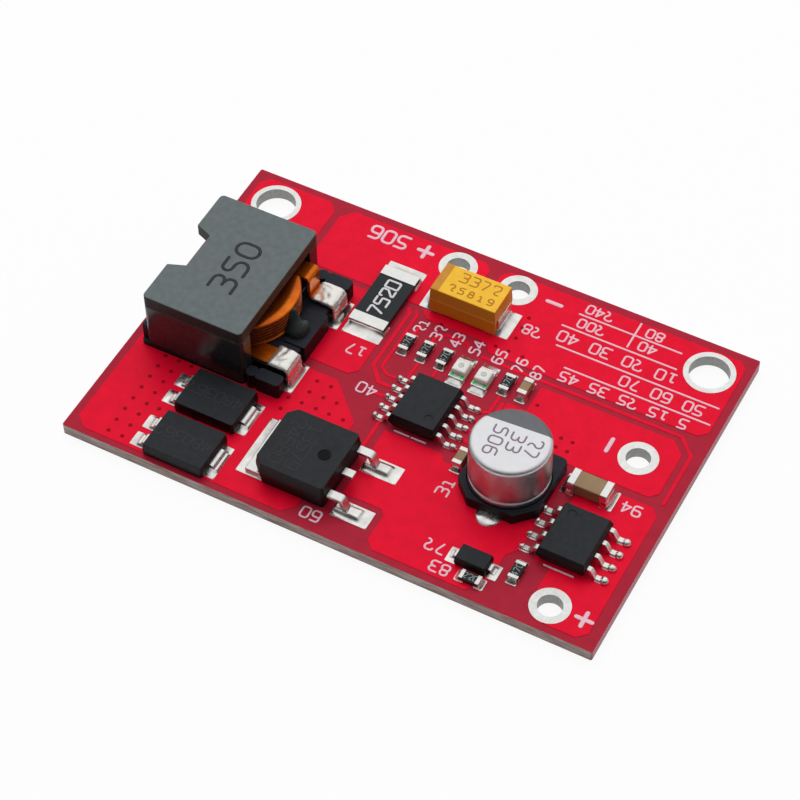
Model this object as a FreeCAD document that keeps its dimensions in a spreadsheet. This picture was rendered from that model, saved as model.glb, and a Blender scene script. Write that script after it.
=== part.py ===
"""Solar charge controller: a bare, populated circuit board with its power parts.

Millimetres. The origin is the middle of the board's underside, X runs along the
board's length, Y to its back edge and Z up through the parts.
"""
import FreeCAD, Part
import math
import os
import Sketcher

# Driving sizes
# Every size that can be set by itself has one cell of the sheet.
SIZES = {
    # Board
    "board_length": 44.0,
    "board_depth": 30.0,
    "board_thick": 1.0,
    "board_corner": 0.15,
    "pad_rise": 0.05,
    "plating_wall": 0.05,
    # Mounting holes, counted from the board's edges
    "mount_hole_radius": 1.6,
    "mount_ring_width": 0.43,
    "mount_inset_side": 3.0,
    "mount_inset_back": 2.85,
    # Wire holes: a pair for the battery at the back edge, a pair for the panel at the right edge
    "wire_hole_radius": 0.95,
    "wire_ring_width": 0.6,
    "battery_pair_x": -0.25,
    "battery_pair_spacing": 5.27,
    "battery_inset_back": 2.13,
    "solar_inset_right": 4.35,
    "solar_inset_front": 2.2,
    "solar_minus_gap": 2.16,
    # Power inductor, measured from the axis of its coil
    "coil_axis_x": -15.05,
    "choke_diode_gap": 0.675,
    "coil_to_left_face": 0.93,
    "coil_to_terminals": 1.88,
    "choke_floor": 0.35,
    "choke_side_wall": 0.47,
    "choke_side_height": 1.85,
    "ledge_side": 0.1,
    "block_width": 3.7,
    "block_gap": 0.08,
    "block_height": 1.6,
    "ear_thick": 1.1,
    "ear_round": 0.25,
    "ear_height": 1.5,
    "ear_post_radius": 0.5,
    "ear_groove": 0.1,
    "core_wall": 1.4,
    "coil_past_core": 1.15,
    "core_clearance": 0.05,
    "core_corner": 0.4,
    "core_plate": 1.1,
    "core_bottom_plate": 0.95,
    "coil_footroom": 0.17,
    "coil_headroom": 0.79,
    "core_leg_clearance": 0.15,
    "notch_mouth": 4.5,
    "notch_bottom": 3.4,
    "notch_depth": 1.4,
    "coil_inner_radius": 2.75,
    "wire_width": 1.65,
    "wire_thick": 0.26,
    "turn_pitch": 0.32,
    "whole_turns": 6.0,
    "winding_steps": 36.0,
    "strap_drop_inside": 0.2,
    "strap_bend": 0.2,
    "foot_tuck": 1.2,
    "tin_thick": 0.15,
    "tin_side": 0.12,
    "choke_pad_under": 2.25,
    "choke_pad_side": 0.65,
    "choke_pad_toe": 0.55,
    "glue_length": 1.0,
    "glue_width": 1.15,
    "glue_height": 1.85,
    "glue_gap": 0.03,
    # Power diodes, one behind the other
    "diode_x": -12.62,
    "diode_inset_front": 2.35,
    "diode_gap": 0.65,
    "diode_length": 5.2,
    "diode_width": 3.95,
    "diode_chamfer": 0.15,
    "diode_low": 0.3,
    "diode_high": 0.55,
    "diode_lead_thick": 0.22,
    "diode_lead_out": 0.65,
    "diode_foot": 0.3,
    "diode_wide_lead": 1.75,
    "diode_narrow_lead": 0.9,
    "diode_lead_pitch": 1.8,
    "diode_wide_pad_toe": 0.1,
    "diode_wide_pad_under": 2.0,
    "diode_wide_pad_side": 0.72,
    "diode_narrow_pad_toe": 0.7,
    "diode_narrow_pad_under": 0.65,
    "diode_narrow_pad_side": 0.2,
    # Power transistor
    "transistor_gap": 1.82,
    "transistor_inset_front": 5.07,
    "transistor_length": 6.1,
    "transistor_width": 6.05,
    "transistor_chamfer": 0.75,
    "transistor_nip": 0.25,
    "transistor_low": 1.13,
    "transistor_high": 0.85,
    "transistor_dimple": 0.5,
    "dimple_depth": 0.08,
    "tab_thick": 0.5,
    "tab_width": 5.2,
    "tab_out": 0.8,
    "tab_inside_gap": 1.6,
    "power_lead_thick": 0.3,
    "power_lead_width": 0.72,
    "power_lead_pitch": 2.285,
    "power_shoulder": 1.15,
    "power_slope": 0.42,
    "power_foot": 1.0,
    "power_stub": 0.95,
    "tab_pad_toe": 0.75,
    "tab_pad_under": 5.05,
    "tab_pad_side": 0.15,
    "power_pad_toe": 0.93,
    "power_pad_under": 2.07,
    "power_pad_side": 0.465,
    # Current shunt
    "shunt_gap": 0.965,
    "shunt_inset_back": 8.07,
    "shunt_length": 6.2,
    "shunt_width": 3.05,
    "shunt_height": 0.6,
    "shunt_cap": 1.0,
    "shunt_cap_wall": 0.06,
    "shunt_pad_toe": 0.98,
    "shunt_pad_under": 1.0,
    "shunt_pad_side": 0.1,
    # Moulded tantalum capacitor
    "tantalum_gap": 1.955,
    "tantalum_inset_back": 5.72,
    "tantalum_length": 5.7,
    "tantalum_width": 3.1,
    "tantalum_low": 1.2,
    "tantalum_high": 1.25,
    "tantalum_lift": 0.12,
    "tantalum_strip": 0.12,
    "tantalum_strip_width": 2.2,
    "tantalum_foot": 0.8,
    "tantalum_pad_toe": 0.85,
    "tantalum_pad_under": 1.15,
    "tantalum_pad_side": 0.28,
    # Row of small chips along the board's middle
    "chip_length": 1.6,
    "chip_width": 0.8,
    "resistor_height": 0.45,
    "chip_cap": 0.3,
    "chip_cap_wall": 0.04,
    "ceramic_height": 0.8,
    "ceramic_cap": 0.35,
    "ceramic_cap_wall": 0.04,
    "chip_round": 0.08,
    "chip_pad_toe": 0.35,
    "chip_pad_under": 0.4,
    "chip_pad_side": 0.1,
    "row_y": 3.9,
    "input_ceramic_gap": 0.37,
    "input_ceramic_inset_front": 10.72,
    "gate_resistor_inset_right": 10.37,
    "gate_resistor_inset_front": 1.53,
    "pull_resistor_inset_right": 7.7,
    "pull_resistor_inset_front": 3.65,
    # Large ceramic capacitor
    "bulk_inset_right": 6.15,
    "bulk_inset_front": 12.62,
    "bulk_length": 3.2,
    "bulk_width": 1.6,
    "bulk_height": 1.2,
    "bulk_cap": 0.55,
    "bulk_cap_wall": 0.05,
    "bulk_round": 0.15,
    "bulk_pad_toe": 0.48,
    "bulk_pad_under": 0.55,
    "bulk_pad_side": 0.15,
    # Status lamps
    "lamp_left_x": 2.22,
    "lamp_right_x": 4.13,
    "lamp_y": 3.45,
    "lamp_length": 2.0,
    "lamp_width": 1.25,
    "lamp_base": 0.32,
    "lamp_lens_gap": 0.05,
    "lamp_lens_height": 0.45,
    "lamp_lens_draft": 6.0,
    "lamp_terminal": 0.3,
    "lamp_terminal_wall": 0.03,
    "lamp_pad_toe": 0.55,
    "lamp_pad_under": 0.25,
    "lamp_pad_side": 0.05,
    # Two eight-by-six moulded chips share one body size
    "chip_body_length": 4.9,
    "chip_body_width": 3.9,
    "chip_body_lift": 0.1,
    "chip_body_low": 0.6,
    "chip_body_high": 0.55,
    "chip_draft": 20.0,
    "chip_lead_thick": 0.2,
    "chip_shoulder": 0.25,
    "chip_slope": 0.35,
    "chip_foot": 0.6,
    "chip_dot_radius": 0.35,
    "chip_dot_depth": 0.05,
    "charger_gap": 0.86,
    "charger_y": -1.4,
    "charger_pitch": 1.0,
    "charger_lead_count": 5.0,
    "charger_lead_width": 0.36,
    "charger_pad_toe": 0.47,
    "charger_pad_under": 0.7,
    "charger_pad_side": 0.07,
    "charger_dot_x": 0.95,
    "charger_dot_y": -1.4,
    "switch_inset_right": 5.13,
    "switch_inset_front": 7.75,
    "switch_pitch": 1.27,
    "switch_lead_count": 4.0,
    "switch_lead_width": 0.42,
    "switch_pad_toe": 0.45,
    "switch_pad_under": 0.65,
    "switch_pad_side": 0.09,
    "switch_dot_x": -0.95,
    "switch_dot_y": 1.5,
    # Electrolytic capacitor in a can
    "can_gap": 0.22,
    "can_inset_front": 10.62,
    "can_base_side": 6.6,
    "can_base_chamfer": 1.45,
    "can_base_corner": 0.5,
    "can_base_height": 1.0,
    "can_recess": 0.3,
    "can_recess_clearance": 0.06,
    "can_radius": 3.1,
    "can_height": 4.4,
    "can_shoulder": 0.25,
    "can_crimp_height": 0.4,
    "can_groove_height": 0.3,
    "can_groove_depth": 0.14,
    "can_lead_thick": 0.25,
    "can_lead_width": 0.75,
    "can_lead_out": 0.5,
    "can_lead_root": 0.6,
    "can_pad_toe": 0.35,
    "can_pad_under": 2.4,
    "can_pad_side": 0.5,
    # Signal diode
    "signal_inset_right": 10.8,
    "signal_inset_front": 2.92,
    "signal_length": 2.5,
    "signal_width": 1.5,
    "signal_lift": 0.05,
    "signal_low": 0.3,
    "signal_high": 0.45,
    "signal_lead_thick": 0.14,
    "signal_lead_width": 0.6,
    "signal_lead_out": 0.55,
    "signal_foot": 0.25,
    "signal_pad_toe": 0.25,
    "signal_pad_under": 0.6,
    "signal_pad_side": 0.38,
    # Mould drafts that the larger bodies share
    "power_draft": 9.0,
    "tantalum_draft": 3.0,
}

# Places of the small chips in the middle row, from left to right
RESISTOR_ROW = {
    "sense_resistor": -2.7,
    "upper_divider_resistor": -1.1,
    "lower_divider_resistor": 0.55,
    "lamp_resistor": 5.9,
}
ROW_CERAMIC = {"row_ceramic": 7.42}

UP = FreeCAD.Vector(0, 0, 1)
QUARTER_TURN = 90.0

doc = FreeCAD.newDocument("SolarChargeController")
sheet = doc.addObject("Spreadsheet::Sheet", "Sizes")


class Size:
    """A length or count: its number now, and the cell formula that keeps it up to date."""

    def __init__(self, number, formula):
        self.number = number
        self.formula = formula

    def __add__(self, other):
        other = as_size(other)
        return Size(self.number + other.number, f"({self.formula} + {other.formula})")

    def __sub__(self, other):
        other = as_size(other)
        return Size(self.number - other.number, f"({self.formula} - {other.formula})")

    def __mul__(self, factor):
        factor = as_size(factor)
        return Size(self.number * factor.number, f"({self.formula} * {factor.formula})")

    def __truediv__(self, factor):
        factor = as_size(factor)
        return Size(self.number / factor.number, f"({self.formula} / {factor.formula})")

    def __neg__(self):
        return Size(-self.number, f"(0 - {self.formula})")

    def __radd__(self, other):
        return as_size(other) + self

    def __rsub__(self, other):
        return as_size(other) - self


def as_size(value):
    """Bare numbers join the same sums as named sizes."""
    if isinstance(value, Size):
        return value
    return Size(float(value), repr(float(value)))


class Cells:
    """Every cell of the sheet as an attribute, so sums read like dimensions."""


cells = Cells()


def fill_sheet():
    """Write each size as text beside its name, then read it back through its alias."""
    names = dict(SIZES)
    for row_parts in (RESISTOR_ROW, ROW_CERAMIC):
        for part, place in row_parts.items():
            names[part + "_x"] = place
    for row, (alias, value) in enumerate(names.items(), 1):
        sheet.set(f"A{row}", alias.replace("_", " "))
        sheet.set(f"B{row}", str(value))
        sheet.setAlias(f"B{row}", alias)
    doc.recompute()
    for alias in names:
        setattr(cells, alias, Size(float(sheet.get(alias)), f"Sizes.{alias}"))


# Drawing helpers


def origin_part(body, role):
    """One plane or axis of the body's own origin."""
    return next(item for item in body.Origin.OriginFeatures if item.Role == role)


def place(piece, x, y, z, turn=0.0):
    """Stand a piece at a point of the board, turned about Z."""
    piece.Placement = FreeCAD.Placement(FreeCAD.Vector(), FreeCAD.Rotation(UP, turn))
    for axis, distance in (("x", x), ("y", y), ("z", z)):
        piece.setExpression(f"Placement.Base.{axis}", as_size(distance).formula)


def new_body(label, x, y, z, turn=0.0, loose=False):
    """An empty body for one node. A loose body may hold several separate solids."""
    body = doc.addObject("PartDesign::Body", label)
    body.Label = label
    body.AllowCompound = loose
    place(body, x, y, z, turn)
    return body


def sketch_on(body, role, lift=0.0, x=0.0, y=0.0, turn=0.0):
    """A sketch on one of the body's origin planes, shifted in and along that plane."""
    sketch = body.newObject("Sketcher::SketchObject", f"{body.Name}_sketch")
    sketch.AttachmentSupport = [(origin_part(body, role), "")]
    sketch.MapMode = "FlatFace"
    sketch.AttachmentOffset = FreeCAD.Placement(FreeCAD.Vector(), FreeCAD.Rotation(UP, turn))
    for axis, distance in (("x", x), ("y", y), ("z", lift)):
        sketch.setExpression(f"AttachmentOffset.Base.{axis}", as_size(distance).formula)
    return sketch


def hold(sketch, kind, *where, size):
    """Add one dimension to a sketch and tie it to its formula."""
    index = sketch.addConstraint(Sketcher.Constraint(kind, *where, size.number))
    sketch.setExpression(f"Constraints[{index}]", size.formula)


def hold_point(sketch, shape, end, x, y):
    """Hold one point of a sketch by its distances from the sketch's origin."""
    hold(sketch, "DistanceX", -1, 1, shape, end, size=x)
    hold(sketch, "DistanceY", -1, 1, shape, end, size=y)


def outline(sketch, *corners):
    """A closed outline of straight sides. A corner is (x, y) or (x, y, radius)."""
    spots = [tuple(as_size(value) for value in corner) for corner in corners]
    points = [FreeCAD.Vector(spot[0].number, spot[1].number, 0) for spot in spots]
    count = len(points)
    arrive, leave, mids = [], [], []
    for here, spot in enumerate(spots):
        back = (points[here - 1] - points[here]).normalize()
        ahead = (points[(here + 1) % count] - points[here]).normalize()
        if len(spot) < 3:
            arrive.append(points[here])
            leave.append(points[here])
            mids.append(None)
            continue
        half = back.getAngle(ahead) / 2
        radius = spot[2].number
        reach = radius / math.tan(half)
        inward = (back + ahead).normalize()
        arrive.append(points[here] + back * reach)
        leave.append(points[here] + ahead * reach)
        mids.append(points[here] + inward * (radius / math.sin(half) - radius))
    first = sketch.GeometryCount
    for here in range(count):
        sketch.addGeometry(Part.LineSegment(leave[here], arrive[(here + 1) % count]))
    for here, spot in enumerate(spots):
        before = first + (here - 1) % count
        after = first + here
        if mids[here] is None:
            sketch.addConstraint(Sketcher.Constraint("Coincident", before, 2, after, 1))
            hold_point(sketch, after, 1, spot[0], spot[1])
            continue
        side = (points[here] - points[here - 1]).cross(points[(here + 1) % count] - points[here])
        start, end = (1, 2) if side.z > 0 else (2, 1)
        arc = sketch.addGeometry(Part.Arc(arrive[here], mids[here], leave[here]))
        corner = sketch.addGeometry(Part.Point(points[here]), True)
        sketch.addConstraint(Sketcher.Constraint("Tangent", before, 2, arc, start))
        sketch.addConstraint(Sketcher.Constraint("Tangent", after, 1, arc, end))
        hold(sketch, "Radius", arc, size=spot[2])
        hold_point(sketch, corner, 1, spot[0], spot[1])
        sketch.addConstraint(Sketcher.Constraint("PointOnObject", corner, 1, before))
        sketch.addConstraint(Sketcher.Constraint("PointOnObject", corner, 1, after))


def rectangle(sketch, left, right, front, back, radius=None):
    """A rectangle between four lines, with round corners if a radius is given."""
    extra = () if radius is None else (radius,)
    outline(
        sketch,
        (left, front, *extra),
        (right, front, *extra),
        (right, back, *extra),
        (left, back, *extra),
    )


def circle(sketch, x, y, radius):
    """A circle held by its centre and radius."""
    x, y, radius = as_size(x), as_size(y), as_size(radius)
    centre = FreeCAD.Vector(x.number, y.number, 0)
    ring = sketch.addGeometry(Part.Circle(centre, UP, radius.number))
    hold_point(sketch, ring, 3, x, y)
    hold(sketch, "Radius", ring, size=radius)


# Feature helpers
cuts = []


def pad(body, sketch, length, downward=False, both_ways=False, draft=None):
    """Raise a sketch. A draft narrows the block away from the sketch."""
    feature = body.newObject("PartDesign::Pad", f"{body.Name}_pad")
    feature.Profile = sketch
    feature.Reversed = downward
    if both_ways:
        feature.SideType = "Symmetric"
    feature.setExpression("Length", as_size(length).formula)
    if draft is not None:
        feature.setExpression("TaperAngle", (-draft).formula)
    body.Tip = feature
    return feature


def pocket(body, sketch, depth, upward=False, both_ways=False):
    """Cut a sketch into the body, down from its plane or up from it."""
    feature = body.newObject("PartDesign::Pocket", f"{body.Name}_pocket")
    feature.Profile = sketch
    feature.Reversed = upward
    if both_ways:
        feature.SideType = "Symmetric"
    feature.setExpression("Length", as_size(depth).formula)
    body.Tip = feature
    cuts.append(feature)
    return feature


def revolve(body, sketch):
    """Turn a sketch of the XZ plane about the body's Z axis."""
    feature = body.newObject("PartDesign::Revolution", f"{body.Name}_turned")
    feature.Profile = sketch
    feature.ReferenceAxis = (sketch, ["V_Axis"])
    feature.Angle = 360.0
    body.Tip = feature
    return feature


def mirror(body, *features, role="YZ_Plane"):
    """Repeat features on the other side of an origin plane."""
    feature = body.newObject("PartDesign::Mirrored", f"{body.Name}_mirrored")
    feature.Originals = list(features)
    feature.MirrorPlane = (origin_part(body, role), [""])
    body.Tip = feature
    return feature


def row_both_sides(body, feature, pitch, count):
    """Repeat one lead along Y, then the whole row on the other side of the body."""
    rows = body.newObject("PartDesign::MultiTransform", f"{body.Name}_rows")
    rows.Originals = [feature]
    along = body.newObject("PartDesign::LinearPattern", f"{body.Name}_row")
    along.Direction = (origin_part(body, "Y_Axis"), [""])
    along.Mode = "Spacing"
    along.setExpression("Offset", pitch.formula)
    along.setExpression("Occurrences", count.formula)
    across = body.newObject("PartDesign::Mirrored", f"{body.Name}_far_row")
    across.MirrorPlane = (origin_part(body, "YZ_Plane"), [""])
    rows.Transformations = [along, across]
    body.Tip = rows
    return rows


fill_sheet()
board_top = cells.board_thick
pad_top = cells.board_thick + cells.pad_rise
back_edge = cells.board_depth / 2
right_edge = cells.board_length / 2
mount_x = right_edge - cells.mount_inset_side
mount_y = back_edge - cells.mount_inset_back
battery_y = back_edge - cells.battery_inset_back
solar_x = right_edge - cells.solar_inset_right
solar_front_y = cells.solar_inset_front - back_edge
bulk_rear_face = cells.bulk_inset_front + cells.bulk_width / 2 - back_edge
solar_rear_y = bulk_rear_face + cells.solar_minus_gap + cells.wire_hole_radius + cells.wire_ring_width
wire_holes = {
    "battery_plus_eyelet": (cells.battery_pair_x - cells.battery_pair_spacing / 2, battery_y),
    "battery_minus_eyelet": (cells.battery_pair_x + cells.battery_pair_spacing / 2, battery_y),
    "panel_minus_eyelet": (solar_x, solar_rear_y),
    "panel_plus_eyelet": (solar_x, solar_front_y),
}
mount_holes = {
    "left_mounting_eyelet": (-mount_x, mount_y),
    "right_mounting_eyelet": (mount_x, mount_y),
}


# How far the leads of each component reach from its middle


def diode_reach():
    """End of a power diode's leads."""
    return cells.diode_length / 2 + cells.diode_lead_out


def tab_reach():
    """Free edge of the transistor's tab."""
    return cells.transistor_length / 2 + cells.tab_out


def power_knees():
    """Upper bend, lower bend and tip of the transistor's leads."""
    knee = cells.transistor_length / 2 + cells.power_shoulder
    ankle = knee + cells.power_slope
    return knee, ankle, ankle + cells.power_foot


def chip_knees():
    """Upper bend, lower bend and tip of a small chip's leads."""
    knee = cells.chip_body_width / 2 + cells.chip_shoulder
    ankle = knee + cells.chip_slope
    return knee, ankle, ankle + cells.chip_foot


def can_reach():
    """End of the capacitor can's leads."""
    return cells.can_base_side / 2 + cells.can_lead_out


def signal_reach():
    """End of the signal diode's leads."""
    return cells.signal_length / 2 + cells.signal_lead_out


# How far the power inductor reaches from its coil's axis


def coil_outer():
    """Outer radius of the winding."""
    return cells.coil_inner_radius + cells.wire_width


def core_left():
    """Left face of the core."""
    return coil_outer() + cells.coil_to_left_face


def core_right():
    """Right face of the core, which leaves the coil's right side open."""
    return coil_outer() - cells.coil_past_core


def choke_left():
    """Left face of the carrier."""
    return core_left() + cells.core_clearance + cells.choke_side_wall


def choke_right():
    """Outer face of the two terminals."""
    return coil_outer() + cells.coil_to_terminals


def choke_half():
    """Half the carrier's depth: the coil, the core's wall and their clearances."""
    return coil_outer() + cells.core_leg_clearance + cells.core_wall + cells.core_clearance


# Where the parts stand


def lay_out():
    """Each part's place, counted from the board's edge or from the neighbour it keeps to."""
    front_edge = -back_edge
    front_diode_y = front_edge + cells.diode_inset_front
    rear_diode_y = front_diode_y + cells.diode_width + cells.diode_gap
    choke_y = rear_diode_y + cells.diode_width / 2 + cells.choke_diode_gap + choke_half()
    transistor_x = cells.diode_x + diode_reach() + cells.transistor_gap + tab_reach()
    shunt_x = cells.coil_axis_x + choke_right() + cells.shunt_gap + cells.shunt_width / 2
    tantalum_x = shunt_x + cells.shunt_width / 2 + cells.tantalum_gap + cells.tantalum_length / 2
    switch_x = right_edge - cells.switch_inset_right
    can_x = switch_x - chip_knees()[2] - cells.can_gap - cells.can_base_side / 2
    input_x = can_x - cells.can_base_side / 2 - cells.input_ceramic_gap - cells.chip_width / 2
    charger_x = input_x - cells.chip_width / 2 - cells.charger_gap - chip_knees()[2]
    layout = {
        "choke": (cells.coil_axis_x, choke_y),
        "front_diode": (cells.diode_x, front_diode_y),
        "rear_diode": (cells.diode_x, rear_diode_y),
        "transistor": (transistor_x, front_edge + cells.transistor_inset_front),
        "shunt": (shunt_x, back_edge - cells.shunt_inset_back),
        "tantalum": (tantalum_x, back_edge - cells.tantalum_inset_back),
        "charger": (charger_x, cells.charger_y),
        "switch": (switch_x, front_edge + cells.switch_inset_front),
        "can": (can_x, front_edge + cells.can_inset_front),
        "input_ceramic": (input_x, front_edge + cells.input_ceramic_inset_front),
    }
    for name in RESISTOR_ROW | ROW_CERAMIC:
        layout[name] = (getattr(cells, name + "_x"), cells.row_y)
    for name in ("gate_resistor", "pull_resistor", "signal", "bulk"):
        inset_right, inset_front = getattr(cells, name + "_inset_right"), getattr(cells, name + "_inset_front")
        layout[name] = (right_edge - inset_right, front_edge + inset_front)
    return layout


spots = lay_out()
chip_turns = dict.fromkeys(RESISTOR_ROW | ROW_CERAMIC, QUARTER_TURN)
chip_turns |= {"input_ceramic": QUARTER_TURN, "pull_resistor": QUARTER_TURN, "gate_resistor": 0.0}


# Board


def make_board():
    """Laminate with its drilled holes, each counterbored below for a flush ring."""
    body = new_body("printed_board", 0, 0, 0)
    blank = sketch_on(body, "XY_Plane")
    rectangle(blank, -right_edge, right_edge, -back_edge, back_edge, cells.board_corner)
    pad(body, blank, cells.board_thick)
    drills = sketch_on(body, "XY_Plane")
    rings = sketch_on(body, "XY_Plane")
    for group, radius, ring in (
        (mount_holes, cells.mount_hole_radius, cells.mount_ring_width),
        (wire_holes, cells.wire_hole_radius, cells.wire_ring_width),
    ):
        for x, y in group.values():
            circle(drills, x, y, radius + cells.plating_wall)
            circle(rings, x, y, radius + ring)
    pocket(body, drills, cells.board_thick * 3, both_ways=True)
    pocket(body, rings, cells.pad_rise, upward=True)


def make_eyelet(label, x, y, radius, ring_width):
    """Plated barrel with a ring above the board and one flush with its underside."""
    body = new_body(label, x, y, 0)
    section = sketch_on(body, "XZ_Plane")
    wall = radius + cells.plating_wall
    ring = radius + ring_width
    outline(
        section,
        (radius, 0),
        (ring, 0),
        (ring, cells.pad_rise),
        (wall, cells.pad_rise),
        (wall, board_top),
        (ring, board_top),
        (ring, pad_top),
        (radius, pad_top),
    )
    revolve(body, section)


# Pads


class PadGroup:
    """The tinned pads of one component, drawn about that component's middle.

    A pad runs from its toe, past the end of the lead, to its heel under the part.
    """

    def __init__(self, body, x, y, turn=0.0):
        self.body = body
        self.sketch = sketch_on(body, "XY_Plane", x=x, y=y, turn=turn)

    def add(self, family, reach, width, middle=0.0, ends=(-1, 1)):
        """Pads under leads that reach so far from the middle, at one end or at both."""
        outer = reach + getattr(cells, family + "_pad_toe")
        inner = reach - getattr(cells, family + "_pad_under")
        half = width / 2 + getattr(cells, family + "_pad_side")
        middle = as_size(middle)
        for end in ends:
            left, right = (inner, outer) if end > 0 else (-outer, -inner)
            rectangle(self.sketch, left, right, middle - half, middle + half)

    def finish(self):
        """Raise the pads by the thickness of copper and tin."""
        pad(self.body, self.sketch, cells.pad_rise)


def make_pads():
    """All tinned pads of the board, each a separate solid."""
    body = new_body("solder_pads", 0, 0, board_top, loose=True)
    for name, turn in chip_turns.items():
        group = PadGroup(body, *spots[name], turn)
        group.add("chip", cells.chip_length / 2, cells.chip_width)
        group.finish()
    for x in (cells.lamp_left_x, cells.lamp_right_x):
        group = PadGroup(body, x, cells.lamp_y, QUARTER_TURN)
        group.add("lamp", cells.lamp_length / 2, cells.lamp_width)
        group.finish()
    tantalum_reach = cells.tantalum_length / 2 + cells.tantalum_strip
    singles = (
        ("shunt", QUARTER_TURN, cells.shunt_length / 2, cells.shunt_width),
        ("tantalum", 0.0, tantalum_reach, cells.tantalum_strip_width),
        ("signal", 0.0, signal_reach(), cells.signal_lead_width),
        ("can", QUARTER_TURN, can_reach(), cells.can_lead_width),
    )
    for family, turn, reach, width in singles:
        group = PadGroup(body, *spots[family], turn)
        group.add(family, reach, width)
        group.finish()
    group = PadGroup(body, *spots["bulk"])
    group.add("bulk", cells.bulk_length / 2, cells.bulk_width)
    group.finish()
    for name in ("front_diode", "rear_diode"):
        group = PadGroup(body, *spots[name])
        group.add("diode_wide", diode_reach(), cells.diode_wide_lead, ends=(1,))
        for side in (-1, 1):
            middle = cells.diode_lead_pitch * (side / 2)
            group.add("diode_narrow", diode_reach(), cells.diode_narrow_lead, middle, ends=(-1,))
        group.finish()
    group = PadGroup(body, *spots["transistor"])
    group.add("tab", tab_reach(), cells.tab_width, ends=(-1,))
    for side in (-1, 1):
        middle = cells.power_lead_pitch * side
        group.add("power", power_knees()[2], cells.power_lead_width, middle, ends=(1,))
    group.finish()
    group = PadGroup(body, *spots["choke"])
    for side in (-1, 1):
        group.add("choke", choke_right(), cells.wire_width, strap_middle() * side, ends=(1,))
    group.finish()
    for family in ("charger", "switch"):
        group = PadGroup(body, *spots[family])
        pitch = getattr(cells, family + "_pitch")
        width = getattr(cells, family + "_lead_width")
        count = int(getattr(cells, family + "_lead_count").number)
        for number in range(count):
            middle = pitch * (number - (count - 1) / 2)
            group.add(family, chip_knees()[2], width, middle)
        group.finish()


# Power inductor


def strap_middle():
    """Distance from the coil's axis to the middle of its straight tails."""
    return cells.coil_inner_radius + cells.wire_width / 2


def strap_drop():
    """Outer face of the upper tail where it runs down beside the turns."""
    return coil_outer() - cells.strap_drop_inside


def choke_body(label, loose=False):
    """A body that stands on the pads, about the coil's axis."""
    return new_body(label, *spots["choke"], pad_top, loose=loose)


def window_floor():
    """Height of the window's floor in the lower core half."""
    return cells.choke_floor + cells.core_bottom_plate


def ledge_top():
    """Height of the ledge that carries the lower tail and the first turn."""
    return window_floor() + cells.coil_footroom


def last_turn():
    """Underside of the upper tail."""
    return ledge_top() + cells.turn_pitch * (cells.whole_turns + 0.5)


def core_parting():
    """Height at which the core halves meet."""
    return last_turn() + cells.wire_thick + cells.coil_headroom


def core_outline(sketch):
    """Plan of both core halves: round corners and a splayed notch at the left."""
    half = choke_half() - cells.core_clearance
    left = -core_left()
    floor = left + cells.notch_depth
    outline(
        sketch,
        (left, -half, cells.core_corner),
        (core_right(), -half, cells.core_corner),
        (core_right(), half, cells.core_corner),
        (left, half, cells.core_corner),
        (left, cells.notch_mouth / 2),
        (floor, cells.notch_bottom / 2),
        (floor, -cells.notch_bottom / 2),
        (left, -cells.notch_mouth / 2),
    )


def make_core():
    """Lower half with its two walls and round middle leg, upper half as a lid."""
    lower = choke_body("inductor_core_lower")
    plan = sketch_on(lower, "XY_Plane", lift=cells.choke_floor)
    core_outline(plan)
    pad(lower, plan, core_parting() - cells.choke_floor)
    window = sketch_on(lower, "XY_Plane", lift=window_floor())
    slot = coil_outer() + cells.core_leg_clearance
    beyond = choke_left() + choke_right()
    rectangle(window, -beyond, beyond, -slot, slot)
    circle(window, 0, 0, cells.coil_inner_radius - cells.core_leg_clearance)
    pocket(lower, window, core_parting() - window_floor(), upward=True)
    upper = choke_body("inductor_core_upper")
    lid = sketch_on(upper, "XY_Plane", lift=core_parting())
    core_outline(lid)
    pad(upper, lid, cells.core_plate)


def strip_ends():
    """Where the tails turn down: outer face, foot tip, ledge level."""
    outer = choke_right()
    inner = outer - cells.wire_thick
    return outer, inner, outer - cells.foot_tuck


def terminal_corners(top):
    """Outline corners of a strip that wraps the ledge, starting and ending at its top."""
    outer, inner, tuck = strip_ends()
    bend = cells.strap_bend
    wide_bend = cells.strap_bend + cells.wire_thick
    low = top - cells.wire_thick
    return [
        (inner, low, bend),
        (inner, cells.wire_thick, bend),
        (tuck, cells.wire_thick),
        (tuck, 0),
        (outer, 0, wide_bend),
        (outer, top, wide_bend),
    ]


def make_coil():
    """Flat wire wound on edge, with two straight tails that wrap the base as terminals."""
    low = ledge_top()
    tail_top = low + cells.wire_thick
    high = last_turn()
    tails = new_body("inductor_coil_tails", 0, 0, 0, loose=True)
    front = sketch_on(tails, "XZ_Plane", lift=strap_middle())
    outline(front, (0, tail_top), (0, low), *terminal_corners(tail_top))
    pad(tails, front, cells.wire_width, both_ways=True)
    rear = sketch_on(tails, "XZ_Plane", lift=-strap_middle())
    bend = cells.strap_bend
    wide_bend = bend + cells.wire_thick
    drop = strap_drop()
    outline(
        rear,
        (0, high + cells.wire_thick),
        (0, high),
        (drop - cells.wire_thick, high, bend),
        (drop - cells.wire_thick, low, wide_bend),
        *terminal_corners(tail_top),
        (drop, tail_top, bend),
        (drop, high + cells.wire_thick, wide_bend),
    )
    pad(tails, rear, cells.wire_width, both_ways=True)
    winding = doc.addObject("Part::Feature", "inductor_coil_winding")
    winding.Shape = wound_strip()
    coil = doc.addObject("Part::MultiFuse", "inductor_coil")
    coil.Label = "inductor_coil"
    coil.Shapes = [winding, tails]
    place(coil, *spots["choke"], pad_top)


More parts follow.
